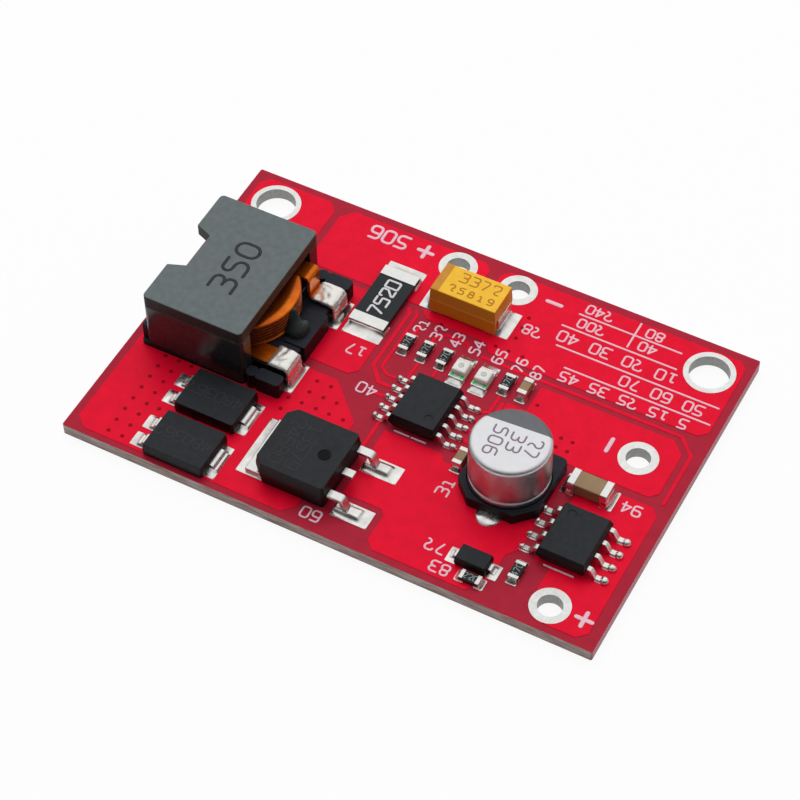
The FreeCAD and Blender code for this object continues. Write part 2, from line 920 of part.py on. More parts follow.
def wound_strip():
    """The turns, as one ruled skin through wire sections set round the axis.

    The strip starts at the front, turns clockwise seen from above and ends at the back.
    """
    inner = cells.coil_inner_radius.number
    outer = coil_outer().number
    thick = cells.wire_thick.number
    steps_per_turn = int(cells.winding_steps.number)
    steps = round((cells.whole_turns.number + 0.5) * steps_per_turn)
    sections = []
    for step in range(steps + 1):
        angle = -math.pi / 2 - 2 * math.pi * step / steps_per_turn
        rise = ledge_top().number + cells.turn_pitch.number * step / steps_per_turn
        along = FreeCAD.Vector(math.cos(angle), math.sin(angle), 0)
        low_inner = along * inner + UP * rise
        low_outer = along * outer + UP * rise
        lift = UP * thick
        ring = [low_inner, low_outer, low_outer + lift, low_inner + lift, low_inner]
        sections.append(Part.makePolygon(ring))
    return Part.makeLoft(sections, True, True)


def make_tinning():
    """Solder coat over the bared wire ends, from the ledge's edge down to the pad."""
    body = choke_body("inductor_terminal_tinning", loose=True)
    outer, inner, tuck = strip_ends()
    top = ledge_top() + cells.wire_thick
    coat = cells.tin_thick
    start = strap_drop() + cells.strap_bend * 2
    wide_bend = cells.strap_bend + cells.wire_thick
    for side in (1, -1):
        section = sketch_on(body, "XZ_Plane", lift=strap_middle() * side)
        outline(
            section,
            (start, top),
            (outer, top, wide_bend),
            (outer, 0),
            (outer + coat * 2, 0),
            (outer + coat, coat * 3),
            (outer + coat, top + coat, wide_bend + coat),
            (start + coat, top + coat),
        )
        pad(body, section, cells.wire_width + cells.tin_side * 2, both_ways=True)


def make_choke_base():
    """Moulded carrier: floor, left wall, terminal ledge, middle block and two ears."""
    body = choke_body("inductor_base")
    half = choke_half()
    left = -choke_left()
    ledge_start = core_right() + cells.core_clearance
    ledge_end = choke_right() - cells.wire_thick
    ledge_half = coil_outer() + cells.ledge_side
    floor = sketch_on(body, "XY_Plane")
    rectangle(floor, left, ledge_start, -half, half, cells.core_corner)
    pad(body, floor, cells.choke_floor)
    wall = sketch_on(body, "XY_Plane")
    wall_half = half - cells.core_corner
    rectangle(wall, left, left + cells.choke_side_wall, -wall_half, wall_half)
    pad(body, wall, cells.choke_side_height)
    apron = sketch_on(body, "XY_Plane")
    apron_half = half - cells.ear_thick
    rectangle(apron, ledge_start - cells.core_corner, ledge_end, -apron_half, apron_half)
    pad(body, apron, cells.choke_floor)
    feet = sketch_on(body, "XY_Plane")
    slot_start = strip_ends()[2] - cells.core_clearance
    slot_half = cells.wire_width / 2 + cells.core_clearance
    for side in (-1, 1):
        middle = strap_middle() * side
        rectangle(feet, slot_start, choke_right() * 2, middle - slot_half, middle + slot_half)
    pocket(body, feet, cells.choke_floor, upward=True)
    ledge = sketch_on(body, "XZ_Plane")
    outline(
        ledge,
        (ledge_start, cells.wire_thick),
        (ledge_end, cells.wire_thick, cells.strap_bend),
        (ledge_end, ledge_top(), cells.strap_bend),
        (ledge_start, ledge_top()),
    )
    pad(body, ledge, ledge_half * 2, both_ways=True)
    block = sketch_on(body, "XY_Plane")
    block_half = cells.block_width / 2
    rectangle(block, coil_outer() + cells.block_gap, choke_right(), -block_half, block_half)
    pad(body, block, cells.block_height)
    for side in (-1, 1):
        ear = sketch_on(body, "XY_Plane")
        near = apron_half * side
        far = half * side
        low, high = (far, near) if side < 0 else (near, far)
        post_x = ledge_start + cells.ear_post_radius
        ear_start = post_x + cells.ear_post_radius - cells.ear_groove
        rectangle(ear, ear_start, choke_right(), low, high, cells.ear_round)
        pad(body, ear, cells.ear_height)
        post = sketch_on(body, "XY_Plane")
        circle(post, post_x, (half - cells.ear_post_radius) * side, cells.ear_post_radius)
        pad(body, post, cells.ear_height)


def make_glue():
    """Bead of adhesive between the coil and the middle block."""
    bead = doc.addObject("Part::Ellipsoid", "glue_bead")
    bead.setExpression("Radius1", cells.glue_height.formula)
    bead.setExpression("Radius2", cells.glue_length.formula)
    bead.setExpression("Radius3", cells.glue_width.formula)
    place(bead, coil_outer() + cells.glue_length / 4, 0, cells.block_height)
    keep_clear = doc.addObject("Part::Cylinder", "coil_envelope")
    keep_clear.setExpression("Radius", (coil_outer() + cells.glue_gap).formula)
    keep_clear.setExpression("Height", (cells.block_height * 3).formula)
    under = doc.addObject("Part::Box", "under_the_bead")
    under.setExpression("Length", (choke_right() * 2).formula)
    under.setExpression("Width", (cells.glue_width * 4).formula)
    under.setExpression("Height", (cells.block_height * 2).formula)
    place(under, 0, -cells.glue_width * 2, -cells.block_height)
    trimmed = doc.addObject("Part::Cut", "glue_off_coil")
    trimmed.Base = bead
    trimmed.Tool = keep_clear
    glue = doc.addObject("Part::Cut", "inductor_glue")
    glue.Label = "inductor_glue"
    glue.Base = trimmed
    glue.Tool = under
    place(glue, *spots["choke"], pad_top)


# Moulded bodies and formed leads


def moulded_block(body, plan, low, land, high, lift, draft):
    """A moulded body: a straight band at the leads, drafted above and below it."""
    band = lift + low
    middle = sketch_on(body, "XY_Plane", lift=band)
    plan(middle)
    pad(body, middle, land)
    upper = sketch_on(body, "XY_Plane", lift=band + land)
    plan(upper)
    pad(body, upper, high, draft=draft)
    lower = sketch_on(body, "XY_Plane", lift=band)
    plan(lower)
    pad(body, lower, low, downward=True, draft=draft)


def box_plan(length, width):
    """Plan of a plain block, as a function that draws it."""

    def draw(sketch):
        rectangle(sketch, -length / 2, length / 2, -width / 2, width / 2)

    return draw


def gull_wing(sketch, root, knee, ankle, tip, top, thick):
    """Side view of a formed lead: out of the body, down, and out again on its foot."""
    half = thick / 2
    bend = thick / 2
    wide_bend = thick + thick / 2
    outline(
        sketch,
        (root, top),
        (root, top - thick),
        (knee - half, top - thick, bend),
        (ankle - half, 0, wide_bend),
        (tip, 0),
        (tip, thick),
        (ankle + half, thick, bend),
        (knee + half, top, wide_bend),
    )


def make_small_chip(family):
    """One of the two moulded chips with its two rows of gull-wing leads."""
    x, y = spots[family]
    draft = cells.chip_draft
    body = new_body(f"{family}_chip_body", x, y, pad_top)
    plan = box_plan(cells.chip_body_width, cells.chip_body_length)
    low, high = cells.chip_body_low, cells.chip_body_high
    land = cells.chip_lead_thick
    moulded_block(body, plan, low, land, high, cells.chip_body_lift, draft)
    top = cells.chip_body_lift + low + land
    dot = sketch_on(body, "XY_Plane", lift=top + high)
    dot_x, dot_y = getattr(cells, family + "_dot_x"), getattr(cells, family + "_dot_y")
    circle(dot, dot_x, dot_y, cells.chip_dot_radius)
    pocket(body, dot, cells.chip_dot_depth)
    leads = new_body(f"{family}_chip_leads", x, y, pad_top, loose=True)
    pitch, count = getattr(cells, family + "_pitch"), getattr(cells, family + "_lead_count")
    first = (count - 1) * pitch / 2
    side_view = sketch_on(leads, "XZ_Plane", lift=first)
    root = cells.chip_body_width / 2
    gull_wing(side_view, root, *chip_knees(), top, land)
    lead = pad(leads, side_view, getattr(cells, family + "_lead_width"), both_ways=True)
    row_both_sides(leads, lead, pitch, count)


def make_power_diode(label):
    """Flat moulded diode: one wide lead at the right, two narrow ones at the left."""
    x, y = spots[label]
    half_length, half_width = cells.diode_length / 2, cells.diode_width / 2
    nip = cells.diode_chamfer

    def plan(sketch):
        outline(
            sketch,
            (-half_length, -half_width + nip),
            (-half_length + nip, -half_width),
            (half_length - nip, -half_width),
            (half_length, -half_width + nip),
            (half_length, half_width - nip),
            (half_length - nip, half_width),
            (-half_length + nip, half_width),
            (-half_length, half_width - nip),
        )

    body = new_body(label + "_body", x, y, pad_top)
    thick = cells.diode_lead_thick
    moulded_block(body, plan, cells.diode_low, thick, cells.diode_high, 0, cells.power_draft)
    leads = new_body(label + "_leads", x, y, pad_top, loose=True)
    top = cells.diode_low + thick
    tip = diode_reach()
    ankle = tip - cells.diode_foot
    knee = ankle - thick / 2
    side_view = sketch_on(leads, "XZ_Plane")
    gull_wing(side_view, half_length, knee, ankle, tip, top, thick)
    pad(leads, side_view, cells.diode_wide_lead, both_ways=True)
    for side in (-1, 1):
        narrow = sketch_on(leads, "XZ_Plane", lift=cells.diode_lead_pitch * (side / 2))
        outline(
            narrow,
            (-half_length, top),
            (-knee - thick / 2, top, thick),
            (-ankle - thick / 2, thick, thick / 2),
            (-tip, thick),
            (-tip, 0),
            (-ankle + thick / 2, 0, thick),
            (-knee + thick / 2, top - thick, thick / 2),
            (-half_length, top - thick),
        )
        pad(leads, narrow, cells.diode_narrow_lead, both_ways=True)


def make_transistor():
    """Power transistor: moulded body over a copper tab, two formed leads and a clipped one."""
    x, y = spots["transistor"]
    half_length, half_width = cells.transistor_length / 2, cells.transistor_width / 2
    chamfer, nip = cells.transistor_chamfer, cells.transistor_nip

    def plan(sketch):
        outline(
            sketch,
            (-half_length + chamfer, -half_width),
            (half_length - nip, -half_width),
            (half_length, -half_width + nip),
            (half_length, half_width - nip),
            (half_length - nip, half_width),
            (-half_length + chamfer, half_width),
            (-half_length, half_width - chamfer),
            (-half_length, -half_width + chamfer),
        )

    body = new_body("transistor_body", x, y, pad_top)
    land = cells.power_lead_thick
    low, high = cells.transistor_low, cells.transistor_high
    moulded_block(body, plan, low, land, high, 0, cells.power_draft)
    seat = sketch_on(body, "XY_Plane")
    slug_left = -tab_reach()
    slug_right = half_length - cells.tab_inside_gap
    rectangle(seat, slug_left * 2, slug_right, -cells.tab_width / 2, cells.tab_width / 2)
    pocket(body, seat, cells.tab_thick, upward=True)
    mark = sketch_on(body, "XY_Plane", lift=low + land + high)
    circle(mark, cells.transistor_length / 4, 0, cells.transistor_dimple)
    pocket(body, mark, cells.dimple_depth)
    tab = new_body("transistor_tab", x, y, pad_top)
    slug = sketch_on(tab, "XY_Plane")
    rectangle(slug, slug_left, slug_right, -cells.tab_width / 2, cells.tab_width / 2)
    pad(tab, slug, cells.tab_thick)
    leads = new_body("transistor_leads", x, y, pad_top, loose=True)
    top = low + land
    for side in (-1, 1):
        side_view = sketch_on(leads, "XZ_Plane", lift=cells.power_lead_pitch * side)
        gull_wing(side_view, half_length, *power_knees(), top, land)
        pad(leads, side_view, cells.power_lead_width, both_ways=True)
    stub = sketch_on(leads, "XZ_Plane")
    rectangle(stub, half_length, half_length + cells.power_stub, low, top)
    pad(leads, stub, cells.power_lead_width, both_ways=True)


# Chips with plated ends


def make_flat_chip(label, x, y, turn, length, width, height, cap, wall):
    """Flat ceramic slab whose plated ends wrap over its top and bottom."""
    slab = new_body(f"{label}_body", x, y, pad_top, turn)
    section = sketch_on(slab, "XZ_Plane")
    half = length / 2
    rectangle(section, -half + wall, half - wall, wall, height - wall)
    pad(slab, section, width, both_ways=True)
    ends = new_body(f"{label}_caps", x, y, pad_top, turn, loose=True)
    clip = sketch_on(ends, "XZ_Plane")
    outline(
        clip,
        (half - cap, 0),
        (half, 0, wall),
        (half, height, wall),
        (half - cap, height),
        (half - cap, height - wall),
        (half - wall, height - wall),
        (half - wall, wall),
        (half - cap, wall),
    )
    right_end = pad(ends, clip, width, both_ways=True)
    mirror(ends, right_end)


def make_ceramic(label, x, y, turn, length, width, height, cap, wall, corner):
    """Ceramic block with plated ends that cover five sides."""
    block = new_body(f"{label}_body", x, y, pad_top, turn)
    half = length / 2
    section = sketch_on(block, "YZ_Plane", lift=-half + wall)
    inner_half = width / 2 - wall
    rectangle(section, -inner_half, inner_half, wall, height - wall, corner - wall)
    pad(block, section, length - wall * 2)
    ends = new_body(f"{label}_caps", x, y, pad_top, turn, loose=True)
    for start in (-half, half - cap):
        outer = sketch_on(ends, "YZ_Plane", lift=start)
        rectangle(outer, -width / 2, width / 2, 0, height, corner)
        pad(ends, outer, cap)
    hollow = sketch_on(ends, "YZ_Plane", lift=-half + wall)
    rectangle(hollow, -inner_half, inner_half, wall, height - wall, corner - wall)
    pocket(ends, hollow, length - wall * 2, upward=True)


def make_chips():
    """Resistors, ceramics and the current shunt."""
    resistors = list(RESISTOR_ROW) + ["gate_resistor", "pull_resistor"]
    for label in resistors:
        x, y, turn = *spots[label], chip_turns[label]
        height, cap, wall = cells.resistor_height, cells.chip_cap, cells.chip_cap_wall
        make_flat_chip(label, x, y, turn, cells.chip_length, cells.chip_width, height, cap, wall)
    for label in list(ROW_CERAMIC) + ["input_ceramic"]:
        x, y, turn = *spots[label], chip_turns[label]
        height, cap, wall = cells.ceramic_height, cells.ceramic_cap, cells.ceramic_cap_wall
        length, width = cells.chip_length, cells.chip_width
        make_ceramic(label, x, y, turn, length, width, height, cap, wall, cells.chip_round)
    length, width, height = cells.bulk_length, cells.bulk_width, cells.bulk_height
    cap, wall, corner = cells.bulk_cap, cells.bulk_cap_wall, cells.bulk_round
    x, y = spots["bulk"]
    make_ceramic("bulk_ceramic", x, y, 0.0, length, width, height, cap, wall, corner)
    length, width, height = cells.shunt_length, cells.shunt_width, cells.shunt_height
    cap, wall = cells.shunt_cap, cells.shunt_cap_wall
    make_flat_chip("shunt", *spots["shunt"], QUARTER_TURN, length, width, height, cap, wall)


def make_tantalum():
    """Moulded block with a strip terminal folded under each end."""
    x, y = spots["tantalum"]
    body = new_body("tantalum_body", x, y, pad_top)
    plan = box_plan(cells.tantalum_length, cells.tantalum_width)
    low, high, land = cells.tantalum_low, cells.tantalum_high, cells.tantalum_strip
    moulded_block(body, plan, low, land, high, cells.tantalum_lift, cells.tantalum_draft)
    strips = new_body("tantalum_terminals", x, y, pad_top, loose=True)
    strip = cells.tantalum_strip
    face = cells.tantalum_length / 2
    rise = cells.tantalum_lift + low + land
    section = sketch_on(strips, "XZ_Plane")
    outline(
        section,
        (face - cells.tantalum_foot, 0),
        (face + strip, 0, strip),
        (face + strip, rise),
        (face, rise),
        (face, strip),
        (face - cells.tantalum_foot, strip),
    )
    right_strip = pad(strips, section, cells.tantalum_strip_width, both_ways=True)
    mirror(strips, right_strip)


def make_lamp(label, x):
    """Small lamp: board strip, plated ends and a clear moulded lens."""
    y, turn = cells.lamp_y, QUARTER_TURN
    half, wall = cells.lamp_length / 2, cells.lamp_terminal_wall
    base = new_body(f"{label}_base", x, y, pad_top, turn)
    strip = sketch_on(base, "XZ_Plane")
    rectangle(strip, -half + wall, half - wall, wall, cells.lamp_base - wall)
    pad(base, strip, cells.lamp_width, both_ways=True)
    ends = new_body(f"{label}_terminals", x, y, pad_top, turn, loose=True)
    clip = sketch_on(ends, "XZ_Plane")
    inner = half - cells.lamp_terminal
    outline(
        clip,
        (inner, 0),
        (half, 0),
        (half, cells.lamp_base),
        (inner, cells.lamp_base),
        (inner, cells.lamp_base - wall),
        (half - wall, cells.lamp_base - wall),
        (half - wall, wall),
        (inner, wall),
    )
    right_end = pad(ends, clip, cells.lamp_width, both_ways=True)
    mirror(ends, right_end)
    lens = new_body(f"{label}_lens", x, y, pad_top, turn)
    plan = sketch_on(lens, "XY_Plane", lift=cells.lamp_base - wall)
    half_width = cells.lamp_width / 2
    half_lens = inner - cells.lamp_lens_gap
    rectangle(plan, -half_lens, half_lens, -half_width, half_width)
    pad(lens, plan, cells.lamp_lens_height + wall, draft=cells.lamp_lens_draft)


def make_can():
    """Electrolytic capacitor: moulded base, drawn can with a crimp groove, two flat leads."""
    x, y = spots["can"]
    half = cells.can_base_side / 2
    nip, corner = cells.can_base_chamfer, cells.can_base_corner
    base = new_body("can_base", x, y, pad_top)
    plan = sketch_on(base, "XY_Plane")
    outline(
        plan,
        (-half + nip, -half),
        (half - nip, -half),
        (half, -half + nip),
        (half, half, corner),
        (-half, half, corner),
        (-half, -half + nip),
    )
    pad(base, plan, cells.can_base_height)
    seat = sketch_on(base, "XY_Plane", lift=cells.can_base_height)
    seat_radius = cells.can_radius + cells.can_recess_clearance
    circle(seat, 0, 0, seat_radius)
    pocket(base, seat, cells.can_recess)
    slots = sketch_on(base, "XY_Plane")
    slot = cells.can_lead_width / 2 + cells.can_recess_clearance
    for side in (-1, 1):
        near, far = cells.can_lead_root * side, half * 2 * side
        low, high = (far, near) if side < 0 else (near, far)
        rectangle(slots, -slot, slot, low, high)
    pocket(base, slots, cells.can_lead_thick, upward=True)
    leads = new_body("can_leads", x, y, pad_top, loose=True)
    strips = sketch_on(leads, "XY_Plane")
    lead_half = cells.can_lead_width / 2
    reach = can_reach()
    for side in (-1, 1):
        near, far = (cells.can_lead_root + cells.can_recess_clearance) * side, reach * side
        low, high = (far, near) if side < 0 else (near, far)
        rectangle(strips, -lead_half, lead_half, low, high)
    pad(leads, strips, cells.can_lead_thick)
    can = new_body("capacitor_can", x, y, pad_top)
    bottom = cells.can_base_height - cells.can_recess
    crimp = bottom + cells.can_recess + cells.can_crimp_height
    neck = cells.can_radius - cells.can_groove_depth
    wide = cells.can_radius
    top = bottom + cells.can_height
    section = sketch_on(can, "XZ_Plane")
    outline(
        section,
        (0, bottom),
        (wide, bottom, cells.can_groove_depth),
        (wide, crimp, cells.can_groove_depth / 2),
        (neck, crimp + cells.can_groove_height / 2),
        (wide, crimp + cells.can_groove_height, cells.can_groove_depth / 2),
        (wide, top, cells.can_shoulder),
        (0, top),
    )
    revolve(can, section)


def make_signal_diode():
    """Small moulded diode with two flat leads."""
    x, y = spots["signal"]
    body = new_body("signal_diode_body", x, y, pad_top)
    plan = box_plan(cells.signal_length, cells.signal_width)
    low, high, land = cells.signal_low, cells.signal_high, cells.signal_lead_thick
    moulded_block(body, plan, low, land, high, cells.signal_lift, cells.power_draft)
    leads = new_body("signal_diode_leads", x, y, pad_top, loose=True)
    side_view = sketch_on(leads, "XZ_Plane")
    top = cells.signal_lift + low + land
    tip = signal_reach()
    ankle = tip - cells.signal_foot
    knee = ankle - land / 2
    gull_wing(side_view, cells.signal_length / 2, knee, ankle, tip, top, land)
    lead = pad(leads, side_view, cells.signal_lead_width, both_ways=True)
    mirror(leads, lead)


# Assembly


def build():
    """Make every piece."""
    make_board()
    for label, (x, y) in mount_holes.items():
        make_eyelet(label, x, y, cells.mount_hole_radius, cells.mount_ring_width)
    for label, (x, y) in wire_holes.items():
        make_eyelet(label, x, y, cells.wire_hole_radius, cells.wire_ring_width)
    make_pads()
    make_choke_base()
    make_core()
    make_coil()
    make_tinning()
    make_glue()
    for label in ("front_diode", "rear_diode"):
        make_power_diode(label)
    make_transistor()
    make_chips()
    make_tantalum()
    for label, x in (("left_lamp", cells.lamp_left_x), ("right_lamp", cells.lamp_right_x)):
        make_lamp(label, x)
    make_small_chip("charger")
    make_small_chip("switch")
    make_can()
    make_signal_diode()
    doc.recompute()


HELPERS = {
    "inductor_coil_tails",
    "inductor_coil_winding",
    "glue_bead",
    "coil_envelope",
    "under_the_bead",
    "glue_off_coil",
}


def finished_pieces():
    """Every top-level piece of the document that is a node of its own."""
    kinds = ("PartDesign::Body", "Part::MultiFuse", "Part::Cut")
    return [item for item in doc.Objects if item.TypeId in kinds and item.Name not in HELPERS]


def check():
    """Stop before anything is written if a feature failed or a shape is bad."""
    for item in doc.Objects:
        if "Invalid" in item.State or "Error" in item.State:
            raise RuntimeError(f"{item.Label} did not build: {item.State}")
    for cut in cuts:
        if not cut.Shape.Volume < cut.BaseFeature.Shape.Volume:
            raise RuntimeError(f"{cut.Label} removes nothing")
    for piece in finished_pieces():
        if piece.Shape.isNull() or not piece.Shape.isValid():
            raise RuntimeError(f"{piece.Label} has no valid shape")


def export():
    """Write each piece to its own file."""
    os.makedirs("parts", exist_ok=True)
    for piece in finished_pieces():
        piece.Shape.exportStep(f"parts/{piece.Label}.step")
        print(piece.Label, len(piece.Shape.Solids), "solids", round(piece.Shape.Volume, 3), "mm3")


build()
check()
export()
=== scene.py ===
# %% [markdown]
# # Solar charge controller board
# A bare circuit board that charges a battery from a solar panel: red solder mask, bright tin, black
# moulded parts.
# The solids come from the CAD model. This notebook gives them their finishes and adds what is too
# thin or too fine to be a solid: copper tracks under the mask, solder, printed marks.

# %% Load the frame
import bpy
import bmesh
import math
from mathutils import Matrix, Vector, noise


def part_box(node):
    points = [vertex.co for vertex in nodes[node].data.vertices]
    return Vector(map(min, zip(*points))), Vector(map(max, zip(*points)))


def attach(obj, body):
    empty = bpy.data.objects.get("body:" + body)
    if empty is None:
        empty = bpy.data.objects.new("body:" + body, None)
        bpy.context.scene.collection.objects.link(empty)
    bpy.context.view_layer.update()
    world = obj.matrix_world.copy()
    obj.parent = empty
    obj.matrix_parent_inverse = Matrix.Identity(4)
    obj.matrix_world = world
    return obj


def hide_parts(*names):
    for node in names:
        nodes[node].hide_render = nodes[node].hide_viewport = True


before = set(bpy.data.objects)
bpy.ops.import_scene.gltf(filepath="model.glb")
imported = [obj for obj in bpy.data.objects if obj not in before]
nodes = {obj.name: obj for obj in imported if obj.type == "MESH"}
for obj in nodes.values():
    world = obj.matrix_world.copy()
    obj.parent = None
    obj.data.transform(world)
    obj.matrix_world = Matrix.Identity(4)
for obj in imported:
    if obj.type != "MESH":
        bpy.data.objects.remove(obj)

scene = bpy.context.scene
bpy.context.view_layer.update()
MM = 0.001
print("CAD nodes:", len(nodes))

# %% [markdown]
# ## Measures
# A scene in metres is awkward for a board drawn in millimetres, so every table below is in
# millimetres and meshes are scaled once, when they are made. The places of the parts are read back
# from the CAD boxes, so that marks and solder stay on the parts they belong to.

# %% Places and levels
def box_mm(node):
    """The lowest and the highest corner of a node, in millimetres."""
    low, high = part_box(node)
    return [value / MM for value in low], [value / MM for value in high]


def middle_mm(node):
    """The middle of a node in plan."""
    low, high = box_mm(node)
    return (low[0] + high[0]) / 2, (low[1] + high[1]) / 2


def top_mm(node):
    """The highest level of a node."""
    return box_mm(node)[1][2]


# the levels of the laminate's upper face, of the pads on it and of the masked copper
BOARD_TOP = 1.0
PAD_TOP = BOARD_TOP + 0.05
FILM_TOP = BOARD_TOP + 0.035
print("board top", BOARD_TOP, "inductor top", round(top_mm("inductor_core_upper"), 3))


# %% Mesh helpers
def add_object(name, data):
    """An object of the scene that holds a mesh, a curve, a lamp or a camera."""
    thing = bpy.data.objects.new(name, data)
    scene.collection.objects.link(thing)
    return thing


def mesh_from(work, name):
    """A mesh from an editable one, which is freed."""
    mesh = bpy.data.meshes.new(name)
    work.to_mesh(mesh)
    work.free()
    return mesh


def join_meshes(meshes, name):
    """One mesh from several, keeping their material indices."""
    work = bmesh.new()
    for mesh in meshes:
        work.from_mesh(mesh)
    return mesh_from(work, name)


def finish_piece(mesh, name, materials, replaces=()):
    """Make a mesh in millimetres into a finished piece of the object."""
    mesh.transform(Matrix.Scale(MM, 4))
    indices = [face.material_index for face in mesh.polygons]
    mesh.materials.clear()
    for material in materials:
        mesh.materials.append(material)
    if len(materials) > 1:
        mesh.polygons.foreach_set("material_index", indices)
    piece = add_object(name, mesh)
    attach(piece, "root")
    if replaces:
        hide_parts(*replaces)
    print(name, len(mesh.polygons), "faces")


# %% [markdown]
# ## Finishes
# Each finish is a small node tree. They read Object coordinates, so a pattern stays in place on its
# piece from every side. The helpers only shorten how nodes are made, set and linked.

# %% Node helpers
class NodeTree:
    """A node tree under construction."""

    def __init__(self, tree):
        self.tree = tree

    def add(self, kind, **inputs):
        """A node, with its inputs linked or set by name."""
        node = self.tree.nodes.new(kind)
        for name, value in inputs.items():
            self.feed(value, node.inputs[name.replace("_", " ")])
        return node

    def feed(self, value, socket):
        """Link a socket to another, or set it to a plain value."""
        if isinstance(value, bpy.types.NodeSocket):
            self.tree.links.new(value, socket)
        else:
            socket.default_value = value

    def math(self, operation, first, second=None):
        """One sum on numbers or sockets."""
        node = self.add("ShaderNodeMath")
        node.operation = operation
        self.feed(first, node.inputs[0])
        if second is not None:
            self.feed(second, node.inputs[1])
        return node.outputs["Value"]

    def along(self, vector, direction):
        """How far a vector reaches in a direction."""
        node = self.add("ShaderNodeVectorMath")
        node.operation = "DOT_PRODUCT"
        self.feed(vector, node.inputs[0])
        self.feed(direction, node.inputs[1])
        return node.outputs["Value"]


def helper_names(kind):
    """The names of the helpers in a class."""
    return ", ".join(name for name in vars(kind) if not name.startswith("_"))


print("node helpers:", helper_names(NodeTree))


# %% Material helpers
class Finish(NodeTree):
    """A material under construction: a Principled shader and what feeds it."""

    def __init__(self, name, color, roughness, metallic=0.0, specular=0.5):
        self.material = bpy.data.materials.new(name)
        self.material.use_nodes = True
        super().__init__(self.material.node_tree)
        self.shader = self.tree.nodes["Principled BSDF"]
        self.shader.inputs["Base Color"].default_value = (*color, 1)
        self.shader.inputs["Roughness"].default_value = roughness
        self.shader.inputs["Metallic"].default_value = metallic
        self.shader.inputs["Specular IOR Level"].default_value = specular
        self.where = self.add("ShaderNodeTexCoord").outputs["Object"]

    def noise(self, scale, detail=3.0, stretch=None):
        """Noise with about `scale` cells to the millimetre."""
        where = self.where
        if stretch is not None:
            where = self.add("ShaderNodeMapping", Vector=where, Scale=stretch).outputs["Vector"]
        return self.add("ShaderNodeTexNoise", Vector=where, Scale=scale / MM, Detail=detail).outputs["Fac"]

    def ramp(self, value, *stops):
        """Colours along a value, as (position, colour) stops."""
        node = self.add("ShaderNodeValToRGB", Fac=value)
        elements = node.color_ramp.elements
        while len(elements) < len(stops):
            elements.new(0.5)
        for element, (position, color) in zip(elements, stops):
            element.position = position
            element.color = (*color, 1)
        return node.outputs["Color"]

    def spread(self, value, low, high, at=(0.3, 0.7)):
        """Map the part of a value that lies between the two `at` numbers to the range low to high."""
        node = self.add("ShaderNodeMapRange", Value=value, From_Min=at[0], From_Max=at[1],
                        To_Min=low, To_Max=high)
        return node.outputs["Result"]

    def color(self, source):
        self.feed(source, self.shader.inputs["Base Color"])

    def rough(self, source):
        self.feed(source, self.shader.inputs["Roughness"])

    def bump(self, height, depth, strength=1.0):
        """Bump of about `depth` millimetres."""
        node = self.add("ShaderNodeBump", Height=height, Strength=strength, Distance=depth * MM)
        self.feed(node.outputs["Normal"], self.shader.inputs["Normal"])

    def place(self, axis):
        """How far along an axis a point of the piece lies."""
        return self.add("ShaderNodeSeparateXYZ", Vector=self.where).outputs[axis]

    def facing(self, axis):
        """How far the surface faces along an axis."""
        normal = self.add("ShaderNodeNewGeometry").outputs["Normal"]
        return self.add("ShaderNodeSeparateXYZ", Vector=normal).outputs[axis]

    def upward(self, low, high):
        """0 on upright faces and 1 on level ones, with a soft step between."""
        return self.spread(self.math("ABSOLUTE", self.facing("Z")), 0.0, 1.0, (low, high))

    def mixed(self, share, first, second, blend="MIX"):
        """Two colours mixed by a share, or one multiplied by the other."""
        node = self.add("ShaderNodeMix")
        node.data_type = "RGBA"
        node.blend_type = blend
        self.feed(share, node.inputs["Factor"])
        for name, value in (("A", first), ("B", second)):
            self.feed((*value, 1) if isinstance(value, tuple) else value, node.inputs[name])
        return node.outputs["Result"]


def shade(color, factor):
    """A colour made lighter or darker."""
    return tuple(min(1.0, channel * factor) for channel in color)


print("material helpers:", helper_names(Finish))


# %% [markdown]
# ### Solder mask
# The mask is a clear red film. Over copper it looks bright, over bare laminate deeper and duller.
# The laminate shows at the board's cut edges as pale layers of glass cloth, with some of the red on the
# right-hand one. The board's node is one mesh, so its material tells edge from face by the direction
# of the surface.

# %% Mask and laminate
COPPER_RED = (0.87, 0.004, 0.032)
BARE_RED = (0.45, 0.018, 0.042)


def make_mask(name, color, roughness):
    """Solder mask: a clear red film with a faint grain."""
    finish = Finish(name, color, roughness, specular=0.09)
    grain = finish.noise(0.9, 4.0)
    finish.color(finish.ramp(grain, (0.3, shade(color, 0.93)), (0.7, shade(color, 1.05))))
    finish.rough(finish.spread(finish.noise(3.0), roughness - 0.04, roughness + 0.08))
    finish.bump(finish.noise(14.0, 2.0), 0.004, 0.35)
    return finish


def make_board_finish():
    """Mask on the board's two faces, glass cloth on its edges."""
    finish = make_mask("board_mask_and_edge", BARE_RED, 0.32)
    face_color = finish.shader.inputs["Base Color"].links[0].from_socket
    layers = finish.noise(2.2, 3.0, (0.35, 0.35, 5.0))
    cloth = finish.ramp(layers, (0.32, (0.30, 0.19, 0.17)), (0.5, (0.52, 0.40, 0.37)),
                        (0.68, (0.72, 0.62, 0.58)))
    to_right = finish.spread(finish.facing("X"), 0.0, 1.0, (0.4, 0.6))
    edge = finish.mixed(to_right, cloth, (0.49, 0.13, 0.165))
    finish.color(finish.mixed(finish.upward(0.55, 0.65), edge, face_color))
    return finish.material


board_finish = make_board_finish()
copper_finish = make_mask("mask_over_copper", COPPER_RED, 0.30).material
# the vias' dark dots: partly the mask over the hole, partly painted shade of the hollow
via_finish = make_mask("mask_in_vias", (0.36, 0.0, 0.010), 0.34).material
print("mask finishes ready")


# %% [markdown]
# ### Metals
# Tin plate is bright with a faint grain. Molten solder set on it is smoother and slightly wavy. The
# plated wall of a drilled hole sees little light, so a metal's upright faces can be made darker.

